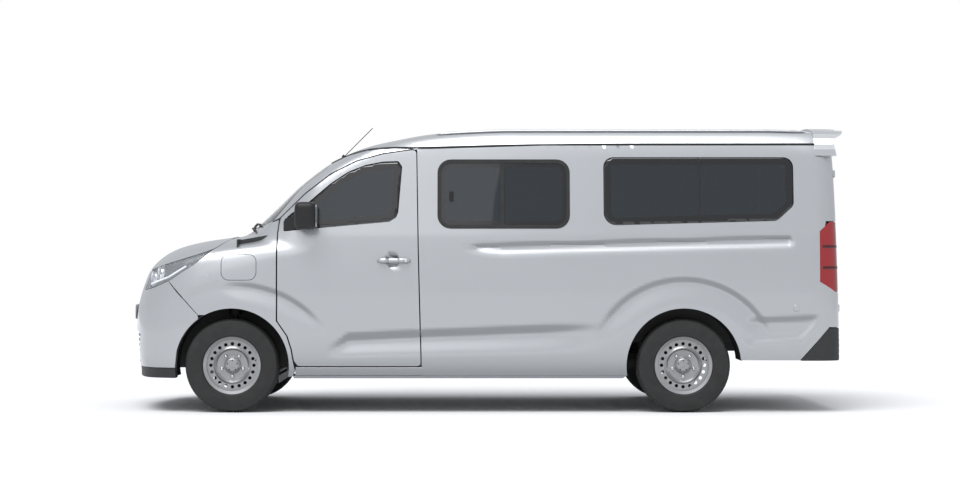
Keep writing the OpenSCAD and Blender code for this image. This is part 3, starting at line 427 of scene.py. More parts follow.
class Wire:  # an output socket that takes part in sums
    def __init__(self, tree, out):
        self.tree, self.out = tree, out

    def add(self, kind, settings=(), inputs=(), out=0):
        made = self.tree.nodes.new("ShaderNode" + kind)
        for key, value in dict(settings).items():
            setattr(made, key, value)
        for key, value in dict(inputs).items():
            if isinstance(value, Wire):
                self.tree.links.new(value.out, made.inputs[key])
            else:
                made.inputs[key].default_value = value
        return Wire(self.tree, made.outputs[out])

    def math(self, operation, a, b=0.0):
        return self.add("Math", {"operation": operation}, {0: a, 1: b})

    def __add__(self, other):
        return self.math("ADD", self, other)

    def __sub__(self, other):
        return self.math("SUBTRACT", self, other)

    def __rsub__(self, other):
        return self.math("SUBTRACT", other, self)

    def __mul__(self, other):
        return self.math("MULTIPLY", self, other)

    __radd__, __rmul__ = __add__, __mul__

    def step(self, low, high):
        return self.add("MapRange", {"interpolation_type": "SMOOTHSTEP"},
                        {"Value": self, "From Min": low, "From Max": high})

    def mix(self, a, b):  # from colour a to colour b
        return self.add("Mix", {"data_type": "RGBA"}, {0: self, 6: a, 7: b}, 2)

    def noise(self, scale, detail=3.0, stretch=(1, 1, 1)):
        place = self.add("Mapping", (), {"Vector": self, "Scale": stretch})
        return self.add("TexNoise", (), {"Vector": place, "Scale": scale, "Detail": detail})


class Finish:
    def __init__(self, name, **fixed):
        self.made = bpy.data.materials.new(name)
        self.made.use_nodes = True
        self.tree = self.made.node_tree
        self.shader = self.tree.nodes["Principled BSDF"]
        start = self.tree.nodes.new("ShaderNodeTexCoord")
        self.place = Wire(self.tree, start.outputs["Object"])
        self.normal = Wire(self.tree, start.outputs["Normal"])
        for key, value in fixed.items():
            self.shader.inputs[key.replace("_", " ")].default_value = value

    def attribute(self, name):
        return self.place.add("Attribute", {"attribute_name": name}, (), 2)

    def feed(self, socket, wire):
        self.tree.links.new(wire.out, self.shader.inputs[socket])
        return self

    def bump(self, height, distance, strength=1.0):
        return self.feed("Normal", height.add("Bump", (), {
            "Height": height, "Distance": distance, "Strength": strength}))


def shade(colour, factor=1.0):  # a colour made darker or lighter, with its alpha
    return tuple(c * factor for c in colour) + (1,)


# Painted metal: painted shade where it faces down and painted highlight where it faces up,
# with fine flakes in colour and bump and slight mottling in the gloss, under clear coat
def paintFinish(name, colour, flake=.05, metallic=.72):
    made = Finish(name, Metallic=metallic, Coat_Weight=.7, Coat_Roughness=.05, Roughness=.3)
    sparkle = made.place.noise(2600, 1)
    cloud = made.place.noise(1.3, 2)
    tone = sparkle * flake + cloud * .02
    # painted shade and highlight: darker where the normal points down, lighter where it points up
    paintedShadeByFacing = made.normal.add("SeparateXYZ", (), {0: made.normal}, 2)
    made.feed("Base Color", (paintedShadeByFacing.step(-.34, .16) + (tone - .03)).mix(
        shade(colour, .50), shade(colour, 1.16)))
    made.feed("Roughness", cloud * .05 + .31)
    return made.bump(sparkle, .00002).made


# Moulded plastic: a fine grain in bump and a worn sheen in the gloss
def plasticFinish(name, colour, rough=.55, grain=900, depth=.00012):
    made = Finish(name, Specular_IOR_Level=.4)
    pebble = made.place.noise(grain, 2)
    wear = made.place.noise(7, 4)
    made.feed("Base Color", wear.mix(shade(colour, .88), shade(colour)))
    made.feed("Roughness", wear * .14 + (rough - .07))
    return made.bump(pebble, depth).made


# Cast or rolled metal: scale and stains in colour and gloss
def metalFinish(name, colour, rough=.45, metallic=.9, grain=60, depth=.0003):
    made = Finish(name, Metallic=metallic)
    stain = made.place.noise(9, 5)
    pits = made.place.noise(grain, 4)
    made.feed("Base Color", (stain * 1.6 - .3).mix(shade(colour, .7), shade(colour)))
    made.feed("Roughness", stain * .3 + (rough - .15))
    return made.bump(pits, depth).made


# Tinted glass: see-through in the middle, with a black printed border that fades out smoothly
def glassFinish(name, colour, alpha, border=.03):
    made = Finish(name, Roughness=.02, Specular_IOR_Level=.6, Coat_Weight=.5)
    edge = made.attribute("edge")
    printed = edge.step(border + .006, border)
    haze = made.place.noise(3, 2)
    made.feed("Base Color", printed.mix(shade(colour), (.006, .006, .007, 1)))
    made.feed("Roughness", haze * .015 + printed * .1 + .01)
    return made.feed("Alpha", printed * (1 - alpha) + alpha).made


# Woven cloth: crossed threads from two sine waves, in colour and bump
def clothFinish(name, colour, thread=900):
    made = Finish(name, Roughness=.85, Sheen_Weight=.35)
    wave = {"wave_type": "BANDS", "wave_profile": "SIN"}
    over = made.place.add("TexWave", {**wave, "bands_direction": "Y"}, {
        "Vector": made.place, "Scale": thread / 20, "Distortion": .6}, 1)
    under = made.place.add("TexWave", {**wave, "bands_direction": "DIAGONAL"}, {
        "Vector": made.place, "Scale": thread / 24, "Distortion": .6}, 1)
    weave = over * .5 + under * .5
    wear = made.place.noise(11, 4)
    made.feed("Base Color", (weave * .7 + wear * .3).mix(shade(colour, .6), shade(colour, 1.25)))
    return made.bump(weave, .0006).made


# Rubber: dusty patches over black, with a fine grain
def rubberFinish(name, tone=.018):
    made = Finish(name, Specular_IOR_Level=.35)
    dust = made.place.noise(16, 5)
    grain = made.place.noise(420, 3)
    made.feed("Base Color", (dust * 1.4 - .2).mix(shade([tone] * 3), shade([tone] * 3, 2.1)))
    made.feed("Roughness", dust * .2 + .55)
    return made.bump(grain, .0002).made


silver = paintFinish("silverPaint", (.50, .515, .535))
wheelSilver = paintFinish("wheelSilver", (.34, .345, .35), .08, .7)
black = plasticFinish("blackPlastic", (.012, .012, .013), .5)
glossBlack = plasticFinish("glossBlack", (.008, .008, .009), .18, 300, .00002)
darkGrey = plasticFinish("bumperPlastic", (.030, .031, .033), .6)
linerBlack = plasticFinish("arches", (.006, .006, .006), .9, 300, .0006)
cabinGrey = plasticFinish("cabinPlastic", (.035, .036, .038), .6, 700, .0002)
fabric = clothFinish("seatFabric", (.050, .054, .060))
piping = plasticFinish("seatPiping", (.02, .021, .023), .6)
rubber = rubberFinish("rubber")
tyreRubber = rubberFinish("tyreRubber", .016)
sideGlass = glassFinish("tintedGlass", (.016, .022, .028), .84, .050)
screenGlass = glassFinish("screenGlass", (.035, .045, .050), .48, .045)
floorSteel = metalFinish("floorSteel", (.05, .05, .052), .6, .2)
chassisSteel = metalFinish("chassisSteel", (.028, .028, .03), .55, .5)
castAlloy = metalFinish("castAlloy", (.32, .33, .34), .45, .95, 140, .0008)
packAlloy = metalFinish("packAlloy", (.38, .39, .40), .4, .95, 30)
chrome = metalFinish("chrome", (.8, .81, .82), .12, 1.0, 20, .00002)
clearLens = Finish("clearLens", Roughness=.03, Alpha=.16, Specular_IOR_Level=.8,
                   Base_Color=(.75, .8, .85, 1)).made
lampChrome = Finish("reflector", Metallic=1.0, Roughness=.12, Base_Color=(.75, .77, .8, 1)).made
redLens = Finish("redLens", Roughness=.06, Specular_IOR_Level=.7, Coat_Weight=.6,
                 Base_Color=(.30, .006, .010, 1)).made
smokeLens = Finish("smokeLens", Roughness=.08, Specular_IOR_Level=.7,
                   Base_Color=(.06, .004, .006, 1)).made
whiteBar = Finish("lightBar", Roughness=.3, Base_Color=(.85, .87, .9, 1),
                  Emission_Color=(.9, .95, 1, 1), Emission_Strength=.15).made
whitePlate = plasticFinish("blankPlate", (.75, .75, .74), .4)
print("materials made")


shutGap = .004  # how far a panel's edge keeps off its neighbour


# Outline drawn smaller by a distance: each corner moves along the mean of its sides' normals
def shrink(loop, distance):
    loop = np.asarray(loop, float)
    before = loop - np.roll(loop, 1, axis=0)
    after = np.roll(loop, -1, axis=0) - loop
    before /= np.hypot(*before.T)[:, None]
    after /= np.hypot(*after.T)[:, None]
    m = np.stack([-before[:, 1], before[:, 0]], 1)
    n = np.stack([-after[:, 1], after[:, 0]], 1)
    return loop + (m + n) * distance / (1 + (m * n).sum(1))[:, None]


doorLoop = roundCorners(fromFront([
    [469, 327], [1346, 327], [1326, 1120], [1313, 1872], [1255, 1868], [1071, 1841],
    [888, 1791], [704, 1698], [519, 1557], [335, 1385], [322, 1271], [322, 651],
    [395, 545], [425, 450], [439, 367]]),
    [.030, .030, .4, .028, .10, .3, .4, .5, .5, .045, .03, .05, .05, .04, .03])
doorWindow = roundCorners(fromFront([
    [364, 1287], [1120, 1355], [1168, 1386], [1183, 1422], [1210, 1749], [1183, 1789],
    [1072, 1785], [948, 1761], [826, 1713], [703, 1631], [530, 1484], [407, 1410],
    [362, 1360]]),
    [.012, .05, .03, .05, .03, .02, .1, .2, .2, .3, .3, .2, .012])
windowOne = roundCorners(fromFront([[1461, 1306], [2402, 1306], [2402, 1800], [1461, 1800]]),
                         .095)
windowTwo = roundCorners(fromRear([
    [-569, 1328], [661, 1361], [783, 1471], [783, 1816], [-569, 1816]]),
    [.09, .06, .06, .07, .07])
slidingLoop = roundCorners(fromFront([[1362, 335], [2540, 335], [2540, 1858], [1362, 1858]]), .04)
gutter = fromFront([[690, 1779], [820, 1837], [960, 1869], [1150, 1882], [1312, 1877],
                    [2210, 1904], [4150, 1905]])
bonnetLine = fromFront([[-645, 1010], [-400, 1080], [-151, 1155], [-100, 1190], [-50, 1234]])
archRadius = .407


# The part of a wheel arch between two heights on its rear or front side, as outline points
def archPart(centre, startAngle, endAngle, count=24):
    angle = np.radians(np.linspace(startAngle, endAngle, count))
    return np.stack([centre + archRadius * np.cos(angle), axleZ + archRadius * np.sin(angle)], 1)


def archAngle(z):  # angle at which the arch has height z
    return np.degrees(np.arcsin((z - axleZ) / archRadius))


def sided(name, loop, body="root", **more):  # the same panel on both sides
    for way in ("left", "right"):
        panel(way + name, loop, onSide, body=body.replace("left", way), mirror=way == "right",
              **more)


flapLoop = roundCorners(fromFront([[-76, 939], [178, 939], [178, 1127], [-76, 1127]]), .057)
door = {"skin": .018, "cardEdge": .085, "cardDepth": .040, "card": .022}
sided("DoorSkin", shrink(doorLoop, shutGap), "left_front_door", finish=silver, slot="paint",
      holes=[doorWindow], wall=door["skin"])
sided("DoorCard", shrink(doorLoop, door["cardEdge"]), "left_front_door", finish=cabinGrey,
      slot="cabin_plastic", holes=[doorWindow], wall=door["card"], inset=door["cardDepth"])

# Wing: from the bumper's seam over the arch to the door and up to the bonnet
wingLoop = np.concatenate([
    fromFront([[430, 255], [447, 300], [433, 367], [419, 450], [389, 545], [316, 651], [316, 1271],
               [325, 1370], [200, 1330], [60, 1262], [-40, 1238]]),
    bonnetLine[::-1][1:3] - [0, .006],
    fromFront([[-276, 1046], [-456, 934], [-238, 694]]),
    archPart(frontX, 180 - archAngle(.694), archAngle(.255), 44)])
wingWall = .012
panel("leftWing", wingLoop, onSide, silver, slot="paint", holes=[flapLoop], step=.02,
      wall=wingWall)
panel("rightWing", wingLoop, onSide, silver, slot="paint", step=.02, wall=wingWall, mirror=True)
panel("chargeFlap", shrink(flapLoop, shutGap), onSide, silver, "charge_flap", "paint",
      step=.012, wall=wingWall)

# Side: behind the door to the tail light, over the rear arch, up to the gutter
cornerReach = .10  # how far ahead of the tail the side ends


def cornerEdge(z):
    z = np.asarray(z, float)
    return np.stack([tailAt(z) - cornerReach, z], 1)


lampEdge = np.array([[.100, .853], [.150, .886], [.223, .930], [.223, 1.288], [.184, 1.323],
                     [.150, 1.357]]) * [-1, 1] + [tailX, 0]
sideLoop = np.concatenate([
    fromFront([[1354, 262]]), archPart(rearX, 180 - archAngle(.262), archAngle(.372), 50),
    fromRear([[823, 371]]), [[tailX - .161, .604]],
    cornerEdge([.612, .72]), lampEdge[:-1] - [.003, 0], cornerEdge([1.36, 1.5, 1.65, 1.822]),
    fromRear([[944, 1823], [944, 1901]]), gutter[::-1][1:3] - [0, .004],
    fromFront([[1316, 1873], [1330, 1120], [1351, 320]])])
panel("leftSide", sideLoop, onSide, silver, slot="paint", step=.02,
      holes=[windowOne, windowTwo])
panel("rightSide", sideLoop, onSide, silver, slot="paint", step=.02,
      holes=[shrink(slidingLoop, -shutGap), windowTwo], mirror=True)
panel("slidingSkin", slidingLoop, onSide, silver, slot="paint", step=.02, holes=[windowOne],
      wall=.045, mirror=True)
print("side panels made")

# Sill under the doors and the strip below it
sillLoop = fromFront([[450, 262], [1354, 262], [1354, 321], [455, 321]])
sided("Sill", sillLoop, finish=silver, slot="paint", wall=.05)
stripLoop = np.concatenate([fromFront([[440, 240]]), fromRear([[-430, 240], [-405, 258]]),
                            fromFront([[432, 258]])])
sided("SillStrip", stripLoop, finish=silver, slot="paint", wall=.05, inset=.006)

# Pillar and roof edge above the door, in front of the gutter
screenY = .728
pillarX = frontX + np.linspace(.10, .66, 24)
pillarTop = onTop(np.stack([pillarX, np.full(24, -screenY - .004)], 1))[:, [0, 2]]
pillarLoop = np.concatenate([
    fromFront([[331, 1387], [515, 1561], [700, 1702], [885, 1795], [1069, 1846], [1255, 1873],
               [1312, 1877]]), gutter[::-1][2:] - [0, .004], pillarTop[::-1] - [0, .003],
    fromFront([[150, 1312], [215, 1335]])])
sided("Pillar", pillarLoop, finish=silver, slot="paint", wall=.04)


# Left and right edges of a top panel at a height line, found on the side surface
def sideWidth(line):
    return -onSide(np.asarray(line, float))[:, 1]


roofX = np.linspace(gutter[0, 0], gutter[-1, 0], 90)
roofLine = np.stack([roofX, np.interp(roofX, *gutter.T) + .002], 1)
roofWidth = sideWidth(roofLine)
roofLoop = np.concatenate([np.stack([roofLine[:, 0], -roofWidth], 1),
                           np.stack([roofLine[::-1, 0], roofWidth[::-1]], 1)])
panel("roofSkin", roofLoop, onTop, silver, slot="paint", step=.03, wall=.035)

bonnetEdge = softened(bonnetLine, 3)
bonnetWidth = sideWidth(bonnetEdge)
frontY = np.linspace(-bonnetWidth[0], bonnetWidth[0], 60)[1:-1]
frontCurve = onNose(np.stack([frontY, np.full(len(frontY), 1.010)], 1))[:, :2]
bonnetLoop = np.concatenate([
    np.stack([bonnetEdge[:, 0], -bonnetWidth], 1),
    np.stack([bonnetEdge[::-1, 0], bonnetWidth[::-1]], 1), frontCurve[::-1]])
panel("bonnetSkin", bonnetLoop, onTop, silver, "bonnet", "paint", step=.024, wall=.022)
print("roof and bonnet made")


# Rear doors: two halves of the tail with their glass
tailLoop = roundCorners([[-.752, .640], [-.005, .640], [-.005, 1.860], [-.700, 1.860]],
                        [.04, .006, .006, .06])
rearWindow = roundCorners([[-.655, 1.190], [-.075, 1.190], [-.075, 1.745], [-.612, 1.745]], .05)


def bothTails(name, loop, finish, slot, holes=(), **more):  # the same panel on both rear doors
    for way, isRight in (("left", False), ("right", True)):
        panel(way + name, loop, onTail, finish, way + "_rear_door", slot, holes, mirror=isRight,
              **more)


bothTails("TailDoor", tailLoop, silver, "paint", [rearWindow], wall=.04)
bothTails("TailGlass", shrink(rearWindow, .003), sideGlass, "glass", step=.02, wall=.005,
          inset=.003, rim=0)

# Skin round the tail's corner, from places on the side (x at each z) to places on the tail
def wrapCorner(name, rows, sideX, tailY, finish, wall=.03, inset=0.0, steps=30):
    side = onSide(np.stack([sideX, rows], 1))
    tail = onTail(np.stack([np.broadcast_to(-tailY, rows.shape), rows], 1))
    foot = tailX - .34
    first, last = (np.arctan2(p[:, 1], p[:, 0] - foot) for p in (side, tail))
    t = np.linspace(0, 1, steps)[:, None]
    angle = (first * (1 - t) + last * t).ravel()
    level = np.broadcast_to(rows, (steps, len(rows))).ravel()
    heading = np.stack([np.cos(angle), np.sin(angle), 0 * angle], 1)
    verts = cast(np.stack([np.full(len(angle), foot), 0 * angle, level], 1), heading, 1.8)
    faces = np.array(gridFaces(steps, len(rows), False))
    for way, flip in (("left", 1), ("right", -1)):
        own = verts * [1, flip, 1]
        piece = newMesh(way + name, own, faces[:, ::-flip], finish, "root")
        if inset:
            setIn(piece, own, inset)
        solidify(piece, wall)


upper = np.linspace(1.360, 1.863, 22)
wrapCorner("CornerUpper", upper, cornerEdge(upper)[:, 0],
           np.interp(upper, [1.6, 1.863], [.756, .712]), silver)
lower = np.linspace(.606, .852, 12)
wrapCorner("CornerLower", lower, cornerEdge(lower)[:, 0], .757, silver)

# Tail lamps: a red lens over dark bars
tailLamp = {"low": .857, "high": 1.355, "lens": .014, "bars": (1.02, 1.17), "barHigh": .020,
            "barStart": .205}
lensRows = np.linspace(tailLamp["low"], tailLamp["high"], 30)
lensEdge = np.interp(lensRows, lampEdge[:, 1], lampEdge[:, 0])
wrapCorner("TailLens", lensRows, lensEdge, .760, redLens,
           tailLamp["lens"], .001)
for number, low in enumerate(tailLamp["bars"]):
    bar = np.linspace(low, low + tailLamp["barHigh"], 3)
    wrapCorner(f"LampBar{number}", bar, np.full(3, tailX - tailLamp["barStart"]), .775, smokeLens,
               .006, -.0015)

# Rear bumper: a dark moulding round the tail, a grid of heights by angles in plan whose ends
# slope forward to the foot of the side
bumper = {"low": .368, "high": .600, "rows": 14, "columns": 90, "turn": 70, "wall": .04}
lastAngle = np.radians(bumper["turn"])
level, angle = (g.ravel() for g in np.meshgrid(
    np.linspace(bumper["low"], bumper["high"], bumper["rows"]),
    np.linspace(-lastAngle, lastAngle, bumper["columns"]), indexing="ij"))
endX = tailX - np.interp(level, [.366, .602], [.363, .158])
endY = onSide(np.stack([endX, level], 1))[:, 1]
angle = angle / lastAngle * np.arctan2(-endY, endX - tailX + .50)
rearBumper = newMesh("rearBumper", aroundTail(np.stack([angle, level], 1)),
                     gridFaces(bumper["rows"], bumper["columns"], False), darkGrey)
solidify(rearBumper, bumper["wall"])


# Angle in plan, seen from the nose's upright line, of side points given as (x, z)
def noseAngle(points):
    place = onSide(np.asarray(points, float))
    return np.stack([np.arctan2(place[:, 1], frontX + .10 - place[:, 0]), place[:, 2]], 1)


def nosePoint(y, z):  # the same for points given as (y, z) from the front
    place = onNose(np.array([[y, z]], float))
    return np.stack([np.arctan2(place[:, 1], frontX + .10 - place[:, 0]), place[:, 2]], 1)


def bothHalves(half):  # left half of an outline from top centre to bottom centre, and its mirror
    return np.concatenate([half, half[::-1] * [-1, 1]])


lampY = .52
lampFoot = softened(fromFront([[-640, 873], [-560, 892], [-462, 936]]), 2)
seam = fromFront([[-461, 934], [-241, 692]])
bumperHalf = np.concatenate([
    [[-.001, 1.004]], nosePoint(-lampY, 1.004), nosePoint(-lampY, .868),
    noseAngle(lampFoot - [0, .004]), noseAngle(seam),
    noseAngle(archPart(frontX, 180 - archAngle(.664), archAngle(.330) + 180, 20)[:15]),
    noseAngle(fromFront([[-407, 318]])), [[-.001, .318]]])
grilleHalf = np.array([[-.001, .570], [-.62, .570], [-.70, .545], [-.62, .365], [-.58, .345],
                       [-.001, .345]])
panel("frontBumper", bothHalves(bumperHalf), aroundNose, silver, slot="paint", wall=.035,
      holes=[bothHalves(grilleHalf)], step=.024, flip=True)
lipHalf = np.concatenate([[[-.001, .314]], noseAngle(fromFront([[-407, 314], [-404, 243]])),
                          [[-.001, .243]]])
panel("bumperLip", bothHalves(lipHalf), aroundNose, darkGrey, slot="grey_plastic", wall=.04,
      inset=.004, flip=True)
panel("lowerGrille", bothHalves(grilleHalf), aroundNose, linerBlack,
      slot="black_plastic", wall=.01, inset=.045, rim=0, flip=True)
grille = {"bars": 5, "low": .385, "pitch": .038, "turn": .60, "narrower": .01, "back": .020,
          "size": .009}
for row in range(grille["bars"]):
    turn = grille["turn"] - grille["narrower"] * row
    level = grille["low"] + row * grille["pitch"]
    bar = aroundNose(np.stack([np.linspace(-turn, turn, 40), np.full(40, level)], 1))
    tube(f"grilleBar{row}", bar + [grille["back"], 0, 0], grille["size"], glossBlack,
         sides=8)

# Headlamps: clear lens over a dark housing with two reflectors and a light bar
lamp = {"lens": .004, "backDepth": .055, "reflectors": ((-.62, .945, .048), (-.72, .980, .046)),
        "depth": .035, "toe": .35, "barSize": .007, "barIn": .985}
lampTop = bonnetEdge[bonnetEdge[:, 0] < frontX - .16] - [0, .005]
lampHalf = np.concatenate([
    nosePoint(-lampY - .004, 1.003), nosePoint(-lampY - .004, .872),
    noseAngle(lampFoot), noseAngle(fromFront([[-272, 1041]])), noseAngle(lampTop[::-1])])
for way, isRight in (("left", False), ("right", True)):
    side = -1 if isRight else 1
    panel(way + "LampLens", lampHalf, aroundNose, clearLens, slot="lamp_clear",
          wall=lamp["lens"], step=.018, rim=0, inset=.001, mirror=isRight, flip=True)
    panel(way + "LampBack", lampHalf, aroundNose, glossBlack, slot="lamp_clear", wall=.01,
          step=.018, rim=0, inset=lamp["backDepth"], mirror=isRight, flip=True)
    for number, (y, z, radius) in enumerate(lamp["reflectors"]):
        spot = aroundNose(nosePoint(y, z))[0] * [1, side, 1] + [lamp["depth"], 0, 0]
        axis = np.array([-1, -lamp["toe"] * side, 0])
        turned(f"{way}Reflector{number}", [[.004, .008], [radius * .5, -.012], [radius, .022],
                                          [radius + .004, .022], [radius + .004, -.03],
                                          [.004, -.03]], spot, axis, lampChrome,
               count=40)
        turned(f"{way}Lens{number}", [[.001, .018], [.018, .015], [.026, .006], [.026, 0],
                                     [.001, 0]], spot, axis, clearLens,
               count=32)
    bar = noseAngle(np.stack([np.linspace(frontX - .60, frontX - .33, 24),
                              np.interp(np.linspace(-.60, -.33, 24), [-.60, -.46, -.33],
                                        [.912, .962, 1.040])], 1))
    path = aroundNose(bar) * [1, side, 1] * [1, lamp["barIn"], 1]
    tube(way + "LightBar", path, lamp["barSize"], whiteBar, sides=8)
print("front made")

# Glass: windscreen, side windows and door glass
def screenFoot(y):  # x of the screen's foot, bowed forward in the middle
    return frontX + .072 + .8 * np.interp(np.abs(y), *frontBow.T)


across = np.linspace(-screenY, screenY, 40)
screenHead = frontX + .686
screenLoop = np.concatenate([
    np.stack([screenFoot(across), across], 1), [[screenHead, screenY], [screenHead, -screenY]]])
panel("screen", screenLoop, onTop, screenGlass, slot="screen_glass", step=.03, wall=.006, rim=0,
      inset=.003)
cowlSide = onSide(fromFront([[-44, 1234], [10, 1247], [60, 1260], [110, 1284],
                             [150, 1304]]))[:, :2]
cowlLoop = np.concatenate([cowlSide, np.stack([screenFoot(across) - .004, across], 1),
                           cowlSide[::-1] * [1, -1]])
panel("cowlSkin", cowlLoop, onTop, black, slot="black_plastic", step=.03, wall=.03, inset=.006)
for name, loop, body in (("WindowOne", windowOne, "root"), ("WindowTwo", windowTwo, "root"),
                         ("DoorGlass", doorWindow, "left_front_door")):
    sided(name, shrink(loop, .002), body, finish=sideGlass, slot="glass", step=.02, wall=.005,
          inset=.004, rim=0)
print("glass made")


# Frame of the front side window: a rubber band on the glass, a bar in the middle and a latch
windowFrame = {"band": .026, "barHalf": .015, "barX": frontX + 1.921, "proud": .003}
sided("WindowFrame", windowOne, finish=rubber, slot="black_plastic",
      holes=[shrink(windowOne, windowFrame["band"])], step=.02, wall=.014,
      inset=-windowFrame["proud"])


def upright(x, half, low, high):  # outline of an upright band
    return np.array([[x - half, low], [x + half, low], [x + half, high], [x - half, high]])


barLoop = upright(windowFrame["barX"], windowFrame["barHalf"], 1.330, 1.776)
sided("WindowBar", barLoop, finish=rubber, slot="black_plastic", step=.03, wall=.012, inset=-.002)
latchLoop = roundCorners(fromFront([[1545, 1500], [1575, 1500], [1575, 1570], [1545, 1570]]),
                         .008)
sided("WindowLatch", latchLoop, finish=glossBlack, slot="black_plastic", step=.01, wall=.01,
      inset=-.006)

# Division of the rear side glass, and the black mirror sail on the door
splitLoop = upright(frontX + 3.319, .004, 1.345, 1.812)
sided("WindowSplit", splitLoop, finish=rubber, slot="black_plastic", step=.03, wall=.006,
      inset=-.001, rim=0)
sailLoop = roundCorners(fromFront([[366, 1292], [640, 1316], [560, 1400], [470, 1400],
                                   [372, 1378]]), [.01, .01, .03, .03, .01])
sided("MirrorSail", sailLoop, "left_front_door", finish=black, slot="black_plastic", step=.02,
      wall=.012, inset=-.003)


# Open line resampled to evenly spaced points by its length
def resampleOpen(line, count):
    length = np.concatenate([[0], np.cumsum(np.hypot(*np.diff(line, axis=0).T))])
    at = np.linspace(0, length[-1], count)
    return np.stack([np.interp(at, length, line[:, k]) for k in (0, 1)], 1)


# Door handle: a grip along the side that stands off by the root of a half sine, and a lock
handle = {"long": .226, "height": 1.077, "foot": .010, "bow": .020, "size": .019}


def doorHandle(name, x, body, ways=(("left", 1), ("right", -1))):
    for way, side in ways:
        t = np.linspace(0, 1, 26)
        flat = np.stack([x + handle["long"] * t, np.full(26, handle["height"])], 1)
        path = onSide(flat) * [1, side, 1]
        path[:, 1] -= side * (handle["foot"] + handle["bow"] * np.sin(np.pi * t) ** .5)
        size = handle["size"] * np.minimum(1, 1.9 * np.sin(np.pi * np.clip(t, .04, .96)) ** .5)
        tube(way + name, path, size, silver, body.replace("left", way), 16, .62)
        lock = path[-4] + [0, -side * .008, 0]
        turned(way + name + "Lock", [[.001, .006], [.007, .006], [.008, .003], [.008, -.006],
                                     [.001, -.006]], lock, [0, -side, 0], chrome,
               body.replace("left", way), 24)


doorHandle("Handle", frontX + 1.041, "left_front_door")
doorHandle("SlideHandle", frontX + 1.43, "root", (("right", -1),))


def bent(value, power):  # power of a value that keeps its sign
    return np.sign(value) * np.abs(value) ** power


# Rounded block: the sines and cosines of a ball's two angles, each raised to a small power
def superShell(name, middle, size, power, finish, body, rows=26, columns=40):
    u = np.linspace(-np.pi / 2 + .02, np.pi / 2 - .02, rows)
    v = np.linspace(-np.pi, np.pi, columns, endpoint=False)
    cu, su = bent(np.cos(u), power)[:, None], bent(np.sin(u), power)[:, None]
    verts = np.stack([cu * bent(np.cos(v), power), cu * bent(np.sin(v), power),
                      su * np.ones(columns)], -1).reshape(-1, 3) * size + middle
    piece = newMesh(name, verts, gridFaces(rows, columns), finish, body)
    fixNormals(piece)
    return piece


# Mirrors: a rounded shell, its glass facing rearward, and the arm to the door
mirror = {"x": frontX + .535, "y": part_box("left_mirror")[0].y + .102, "z": 1.395,
          "half": [.078, .099, .098], "square": .45, "glassX": frontX + .6145, "armSize": .026,
          "arm": [[.475, -.035, 1.330], [.480, .02, 1.335], [.500, .07, 1.350],
                  [.520, .10, 1.365]]}  # ahead of the axle, off the body's side, up
for way, side in (("left", 1), ("right", -1)):
    body = way + "_front_door"
    middleY = side * mirror["y"]
    shell = superShell(way + "MirrorShell", [mirror["x"], middleY, mirror["z"]], mirror["half"],
                       mirror["square"], black, body)
    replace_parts(shell, way + "_mirror")
    loop = roundCorners([[-.088, -.080], [.088, -.080], [.092, .080], [-.080, .082]], .028)
    flat, triangles, _ = fill(loop, (), .03)
    verts = np.stack([np.full(len(flat), mirror["glassX"]), flat[:, 0] + middleY,
                      flat[:, 1] + mirror["z"]], 1)
    solidify(newMesh(way + "MirrorGlass", verts, triangles, chrome, body), .004, 0)
    path = np.array(mirror["arm"])
    path[:, 0] += frontX
    path[:, 1] = -side * (halfWidth + path[:, 1])
    tube(way + "MirrorArm", softened(path, 3), mirror["armSize"], black, body,
         16, 1.4)

# Gutter along the roof's edge and a low rail on the roof
rail = {"start": 1.45, "long": 2.65, "y": .735, "size": .011}
for way, side in (("left", 1), ("right", -1)):
    line = resampleOpen(softened(gutter, 2), 90)
    path = onSide(line + [0, .006]) * [1, side, 1]
    path[:, 1] += side * .002
    tube(way + "Gutter", path, .0065, rubber, "root", 8)
    t = np.linspace(0, 1, 70)
    railX = frontX + rail["start"] + rail["long"] * t
    path = onTop(np.stack([railX, np.full(70, -side * rail["y"])], 1)) + [0, 0, .004]
    size = rail["size"] * np.minimum(1, np.minimum(t, 1 - t) * 30 + .1)
    tube(way + "RoofRail", path, size, silver, "root", 12, 1.4)

# Wheel arch linings: the arch's arc carried inwards, open below, and a lip round its edge
liner = {"clear": .004, "inner": .60, "rows": 6, "columns": 60, "foot": {"front": -12, "rear": 5}}
for end, middle in (("front", frontX), ("rear", rearX)):
    for way, side in (("left", 1), ("right", -1)):
        radius = archRadius + liner["clear"]
        angle = np.radians(np.linspace(liner["foot"][end], 191, liner["columns"]))
        ring = np.stack([middle + radius * np.cos(angle), axleZ + radius * np.sin(angle)], 1)
        outer = onSide(ring)[:, 1] + .012
        depth = np.linspace(0, 1, liner["rows"])[:, None]
        y = outer * (1 - depth) - liner["inner"] * depth
        verts = np.stack([np.broadcast_to(ring[:, 0], y.shape), side * y,
                          np.broadcast_to(ring[:, 1], y.shape)], -1).reshape(-1, 3)
        faces = np.array(gridFaces(liner["rows"], liner["columns"], False))
        piece = newMesh(end + way.title() + "Liner", verts, faces if side < 0 else faces[:, ::-1],
                        linerBlack, "root")
        solidify(piece, .004, 0)
        lip = np.stack([ring[:, 0], side * (outer + .004), ring[:, 1]], 1)
        tube(end + way.title() + "ArchLip", lip, .006, black, "root", 8)
print("trim made")

# Wipers at the foot of the screen, lying along it
wiper = {"spans": ((-.60, .02), (-.02, .60)), "size": .007, "bladeLift": .012, "armLift": .020}
for number, (start, end) in enumerate(wiper["spans"]):
    y = np.linspace(start, end, 40)
    flat = np.stack([screenFoot(y) + .035, y], 1)
    blade = onTop(flat) + [0, 0, wiper["bladeLift"]]
    tube(f"wiperBlade{number}", blade, wiper["size"], rubber, "root", 8)
    arm = onTop(np.stack([screenFoot(y[:24]) - .012 + .04 * np.linspace(0, 1, 24) ** 2,
                          y[:24]], 1)) + [0, 0, wiper["armLift"]]
    tube(f"wiperArm{number}", arm, wiper["size"], black, "root", 8, 1.5)

